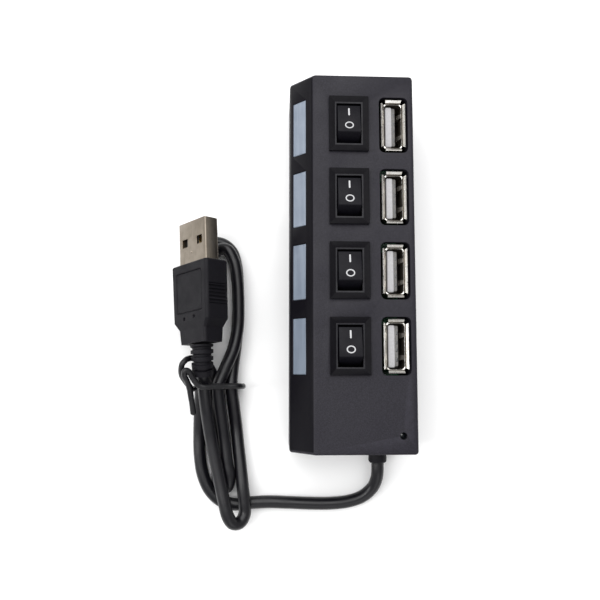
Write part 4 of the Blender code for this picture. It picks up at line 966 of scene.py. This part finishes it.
def grip_grid():
    """Rings from the pocket over the front rim and back to the neck, then the inward moves.

    The rim is a quarter arc, and behind it the half width and half thickness follow straight
    lines between the stations in GRIP_AT."""
    rim = np.linspace(0, math.pi / 2, 7)[::-1]
    run = np.arange(0.75, GRIP_AT[-1], 0.11)
    back = np.concatenate([[POCKET_DEPTH, 0.0], GRIP_RIM * (1 - np.sin(rim)), run, GRIP_AT[-1:]])
    half_w, half_t = np.interp(back, GRIP_AT, GRIP_HALF_W), np.interp(back, GRIP_AT, GRIP_HALF_T)
    soften = np.concatenate([[0, 0], GRIP_RIM * (1 - np.cos(rim)), np.zeros(len(run) + 1)])
    half_w, half_t = half_w - soften, half_t - soften
    half_w[:2], half_t[:2] = SHELL_W / 2 / MM + POCKET_GAP, SHELL_H / 2 / MM + POCKET_GAP
    widest, thickest = GRIP_HALF_W[0], GRIP_HALF_T[0]
    outline = rounded_outline(2 * widest, 2 * thickest, GRIP_ROUND, 380)
    x = outline[:, 0] / widest * half_w[:, None] * MM
    z = outline[:, 1] / thickest * half_t[:, None] * MM
    y = np.broadcast_to(-back[:, None] * MM, x.shape)
    wide = np.abs(outline[:, 1]) > thickest - 0.01
    side = np.abs(outline[:, 0]) > widest - 0.01
    depth = grip_depth(x, y, z, wide[None, :]) * MM * (wide | side)[None, :]
    z = z - np.sign(z) * depth * wide[None, :]
    x = x - np.sign(x) * depth * side[None, :]
    return np.stack([x, y, z], axis=-1)


grip = make_piece("plug_grip", [(placed(grip_grid(), PLUG_PLACE), True, True)], PLUG_GRIP,
                  replaces=("plug_overmould",), sharp=45)
print("grip faces", len(grip.data.polygons))

# %% [markdown]
# ## Plug shell and contacts
#
# The shell is rolled nickel-plated sheet with two square windows in each wide face and a small
# dimple between them.  The CAD shell has the right openings, so it is refined like the case.  The
# four gold contacts lie on the insulator inside, where they show through the windows and from
# the front.

# %% Shell, dimples, insulator and contacts
shell = refined("plug_shell", PLUG_NICKEL, 0.10 * MM, segments=3)
# The insulator is white plastic, and its grey here is painted shade deep inside the shell.
refined("plug_insulator", LEDGE_GREY_AND_INSULATOR_SHADE, 0.12 * MM)


def dimple_grid(x, y, z, radius, height):
    """A round dome: height times the square of 1 - d * d, with d the share of the radius."""
    share = np.linspace(1, 0.02, 9)[:, None]
    turn = np.linspace(0, 2 * math.pi, 28, endpoint=False)[None, :]
    return np.stack([x + radius * share * np.cos(turn), y + radius * share * np.sin(turn),
                     z + height * (1 - share ** 2) ** 2 + 0 * turn], axis=-1)


DIMPLE_X, DIMPLE_Y, DIMPLE_R, DIMPLE_HEIGHT = -0.4 * MM, 3.3 * MM, 0.5 * MM, 0.3 * MM
DIMPLE_FOOT = SHELL_H / 2 - 0.01 * MM
dimples = [placed(dimple_grid(DIMPLE_X, DIMPLE_Y, side * DIMPLE_FOOT, DIMPLE_R, side * DIMPLE_HEIGHT),
                  PLUG_PLACE) for side in (-1, 1)]
make_piece("plug_dimples", [(dimple, True, True) for dimple in dimples], PLUG_NICKEL)
LEAF_HALF_W, LEAF_T, LEAF_Z = 0.55 * MM, 0.12 * MM, 0.09 * MM
LEAF_BACK, LEAF_FRONT = -3.0 * MM, 11.0 * MM
leaf_run = np.column_stack([np.zeros(9), np.linspace(LEAF_BACK, LEAF_FRONT, 9), np.full(9, LEAF_Z)])
contacts = [placed(strip_grid(leaf_run + (x, 0, 0), (1, 0, 0), LEAF_HALF_W, LEAF_T), PLUG_PLACE)
            for x in CONTACT_PLACES]
make_piece("plug_contacts", [(contact, True, True) for contact in contacts], GOLD)

# %% [markdown]
# ## Strain relief and collar
#
# The strain relief is a tapered sleeve cut into rings, so that it bends with the cable.  It is a
# tube whose radius drops wherever a cosine along it is high, which makes the grooves.  The
# collar grips the cable in the end wall, and is the same kind of tube along a straight path, with
# a step and one groove.

# %% Ribbed sleeve
RELIEF_ROUTE = [(-39.94, -21.75, 13.96), (-39.8, -24.0, 14.0), (-39.7, -26.4, 13.7),
                (-39.62, -29.7, 12.55)]
RELIEF_R, RELIEF_TAPER, RELIEF_GROOVE = 3.15, 0.33, 0.6
GROOVE_COUNT, GROOVE_PHASE, GROOVE_EDGE, GROOVE_SOFT, GROOVES_END = 4.6, 0.42, 0.35, 0.7, 0.8
relief_line = smooth_path(np.array(RELIEF_ROUTE) * MM, 0.09 * MM)
along = np.linspace(0, 1, len(relief_line))
groove = fade(np.cos(2 * math.pi * (GROOVE_COUNT * along + GROOVE_PHASE)), GROOVE_EDGE, GROOVE_SOFT)
relief_radius = (RELIEF_R - RELIEF_TAPER * along - RELIEF_GROOVE * groove * (along < GROOVES_END)) * MM
relief = make_piece("plug_strain_sleeve", [(tube_grid(relief_line, relief_radius, 48), True, True)],
                    PLUG_GRIP, replaces=("plug_strain_relief",), sharp=60)

# %% Collar in the end wall
# each row is a place along Y and the radius there, from the flange inside to the lip outside
COLLAR_PROFILE = np.array([
    (-48.05, 2.7), (-48.0, 2.3), (-50.15, 2.3), (-50.2, 2.35), (-50.5, 2.5), (-51.2, 2.52),
    (-51.35, 2.3), (-51.75, 2.3), (-51.9, 2.52), (-53.8, 2.58), (-54.3, 2.45), (-54.55, 2.1),
]) * MM
COLLAR_LOW, COLLAR_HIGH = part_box("cable_collar")
collar_middle = (COLLAR_LOW + COLLAR_HIGH) / 2
collar_y = np.concatenate([[COLLAR_HIGH.y], COLLAR_PROFILE[:, 0]])
collar_radius = np.concatenate([COLLAR_PROFILE[:1, 1], COLLAR_PROFILE[:, 1]])
collar_line = np.column_stack([np.full(len(collar_y), collar_middle.x), collar_y,
                               np.full(len(collar_y), collar_middle.z)])
collar = make_piece("cable_collar_fine", [(tube_grid(collar_line, collar_radius, 48), True, True)],
                    PLUG_GRIP, replaces=("cable_collar",), sharp=35)

# %% [markdown]
# ## The tie
#
# A plastic-coated wire holds the bundle.  It lies across the top of it, goes round below, and its
# two ends curl loose.  Wire holds a bend, so its route is smooth but keeps small kinks, and the
# coating's ends are rounded.

# %% Coated wire tie
TIE_D = 1.6 * MM
TIE_ROUTE = [
    (-41.6, -25.2, 10.2), (-43.2, -25.4, 12.3), (-44.1, -25.9, 14.4), (-44.9, -26.9, 15.0),
    (-45.3, -28.5, 14.0), (-45.3, -30.0, 12.3), (-44.6, -31.6, 10.0), (-43.7, -33.1, 7.2),
    (-43.5, -33.9, 4.2), (-42.5, -33.8, 1.8), (-40.0, -33.5, 0.95), (-35.0, -33.3, 0.95),
    (-31.0, -33.3, 1.15), (-29.4, -33.2, 2.6), (-29.0, -33.1, 5.6), (-29.2, -33.05, 8.8),
    (-30.4, -32.9, 10.8), (-33.2, -33.0, 11.8), (-36.6, -33.0, 13.2), (-38.9, -33.1, 14.2),
    (-40.4, -32.7, 14.5), (-41.4, -31.7, 14.9), (-42.3, -30.3, 15.3), (-43.1, -28.9, 15.8),
    (-44.0, -28.7, 16.2), (-44.2, -30.1, 15.6), (-43.6, -31.8, 14.0), (-43.1, -33.6, 12.8),
    (-42.8, -35.7, 12.1), (-42.4, -38.3, 11.6), (-42.1, -40.8, 11.1),
]
TIE_STEP = 0.25 * MM
tie_line = smooth_path(np.array(TIE_ROUTE) * MM, TIE_STEP)
ring = np.arange(len(tie_line))
to_end = np.minimum(ring, ring[::-1]) * TIE_STEP
tip = np.sqrt(np.clip(1 - (1 - np.clip(to_end / (TIE_D / 2), 0, 1)) ** 2, 0.02, 1))
waver = 1 + 0.035 * np.sin(ring * 0.19) * np.sin(ring * 0.071)
tie = make_piece("coated_wire_tie", [(tube_grid(tie_line, TIE_D / 2 * tip * waver, 20), True, True)],
                 TIE_PVC, replaces=("twist_tie",), sharp=60)

# %% [markdown]
# ## The cable
#
# The captive cable is about 0.4 m of thin PVC cable.  It leaves the collar in the end wall,
# drops to the table and sweeps under its own bundle, makes two loops beside the plug and two
# folds at the far end, and ends in the plug.  A bundle like this could be simulated, but the
# folds are held by a tie and lie in known places, so a listed route is surer.  Strands that
# touch or cross keep about a cable's thickness between their middles.

# %% Cable route and tube
CABLE_D = 3.5 * MM
CABLE_ROUTE = [
    (9.1, -54.2, 5.0), (9.1, -57.0, 4.8), (8.9, -59.3, 3.9), (7.9, -61.9, 2.7), (5.2, -64.4, 1.85),
    (1.0, -65.8, 1.75), (-4.5, -66.3, 1.75), (-10.5, -66.2, 1.75), (-16.5, -65.9, 1.75),
    (-22.0, -65.7, 1.75), (-26.5, -65.9, 1.75), (-31.0, -66.3, 1.75), (-35.0, -65.2, 1.75),
    (-38.2, -62.2, 1.75), (-40.2, -57.8, 1.75), (-41.1, -52.5, 1.75), (-41.3, -46.5, 1.9),
    (-41.1, -39.5, 3.2), (-40.8, -33.0, 4.6), (-41.1, -28.0, 3.0), (-40.3, -22.5, 1.8),
    (-39.5, -16.5, 1.75), (-39.3, -9.0, 1.75), (-39.3, -2.5, 1.75), (-38.6, 2.6, 2.4),
    (-36.7, 5.9, 4.1), (-34.0, 6.0, 5.2), (-31.9, 2.6, 5.3), (-30.9, -3.0, 5.3), (-30.5, -9.5, 5.3),
    (-30.6, -16.5, 5.5), (-31.8, -22.8, 6.3), (-34.0, -28.3, 7.4), (-35.7, -33.0, 8.0),
    (-35.4, -38.0, 6.9), (-34.6, -43.5, 5.8), (-33.9, -49.0, 5.3), (-33.3, -54.0, 5.3),
    (-32.6, -58.0, 5.2), (-33.0, -60.8, 4.3), (-34.6, -61.4, 3.0), (-35.8, -59.2, 2.0),
    (-36.3, -55.0, 1.75), (-36.6, -49.0, 1.75), (-36.8, -41.0, 2.3), (-36.8, -33.0, 3.75),
    (-38.0, -29.3, 5.9), (-40.2, -25.4, 6.3), (-42.2, -21.2, 4.6), (-43.2, -16.8, 2.3),
    (-43.4, -11.5, 1.75), (-43.4, -5.0, 1.75), (-43.1, 0.8, 1.75), (-41.6, 5.8, 1.75),
    (-38.7, 8.4, 1.75), (-35.4, 8.2, 1.75), (-32.6, 5.8, 1.75), (-31.3, 1.6, 1.75),
    (-30.8, -4.0, 1.75), (-30.7, -10.5, 1.75), (-30.9, -17.0, 1.75), (-31.4, -23.0, 2.4),
    (-32.0, -28.3, 4.2), (-32.2, -33.0, 5.4), (-31.6, -38.5, 4.0), (-30.9, -44.0, 2.9),
    (-30.2, -50.0, 3.2), (-29.4, -56.0, 4.4), (-28.8, -61.0, 5.3), (-28.3, -65.0, 5.4),
    (-28.2, -68.2, 5.4), (-29.4, -70.3, 6.2), (-31.3, -70.3, 7.4), (-32.7, -68.2, 8.2),
    (-33.6, -65.0, 8.2), (-34.6, -60.8, 7.9), (-35.7, -56.0, 7.7), (-36.8, -51.0, 7.7),
    (-37.8, -46.0, 7.9), (-38.6, -41.0, 8.6), (-39.1, -37.0, 9.6), (-39.4, -33.2, 10.9),
    (-39.6, -29.4, 12.5),
]
cable_line = smooth_path(np.array(CABLE_ROUTE) * MM, 0.6 * MM)
cable = make_piece("usb_cable", [(tube_grid(cable_line, CABLE_D / 2, 24), True, True)], CABLE_PVC,
                   replaces=("cable_run", "cable_hank"), sharp=60)

# %% [markdown]
# ## Inside the case
#
# The board and what it carries are hidden, but they are part of the model, and the ports and
# gaps give glimpses of them.  Their CAD shapes are right, so they only take a finish.

# %% Finishes of the inner pieces
INNER = {"circuit_board": BOARD, "hub_controller_chip": CHIP_EPOXY, "crystal_oscillator": SCREW_ZINC,
         "filter_capacitor_1": CABLE_PVC, "filter_capacitor_2": CABLE_PVC}
for number in ROWS:
    INNER[f"switch_blade_{number}"] = BRASS
    INNER[f"switch_terminal_middle_{number}"] = BRASS
    INNER[f"switch_terminal_end_{number}"] = BRASS
for node, finish in INNER.items():
    NODES[node].data.materials[0] = finish
print("inner pieces finished:", len(INNER))
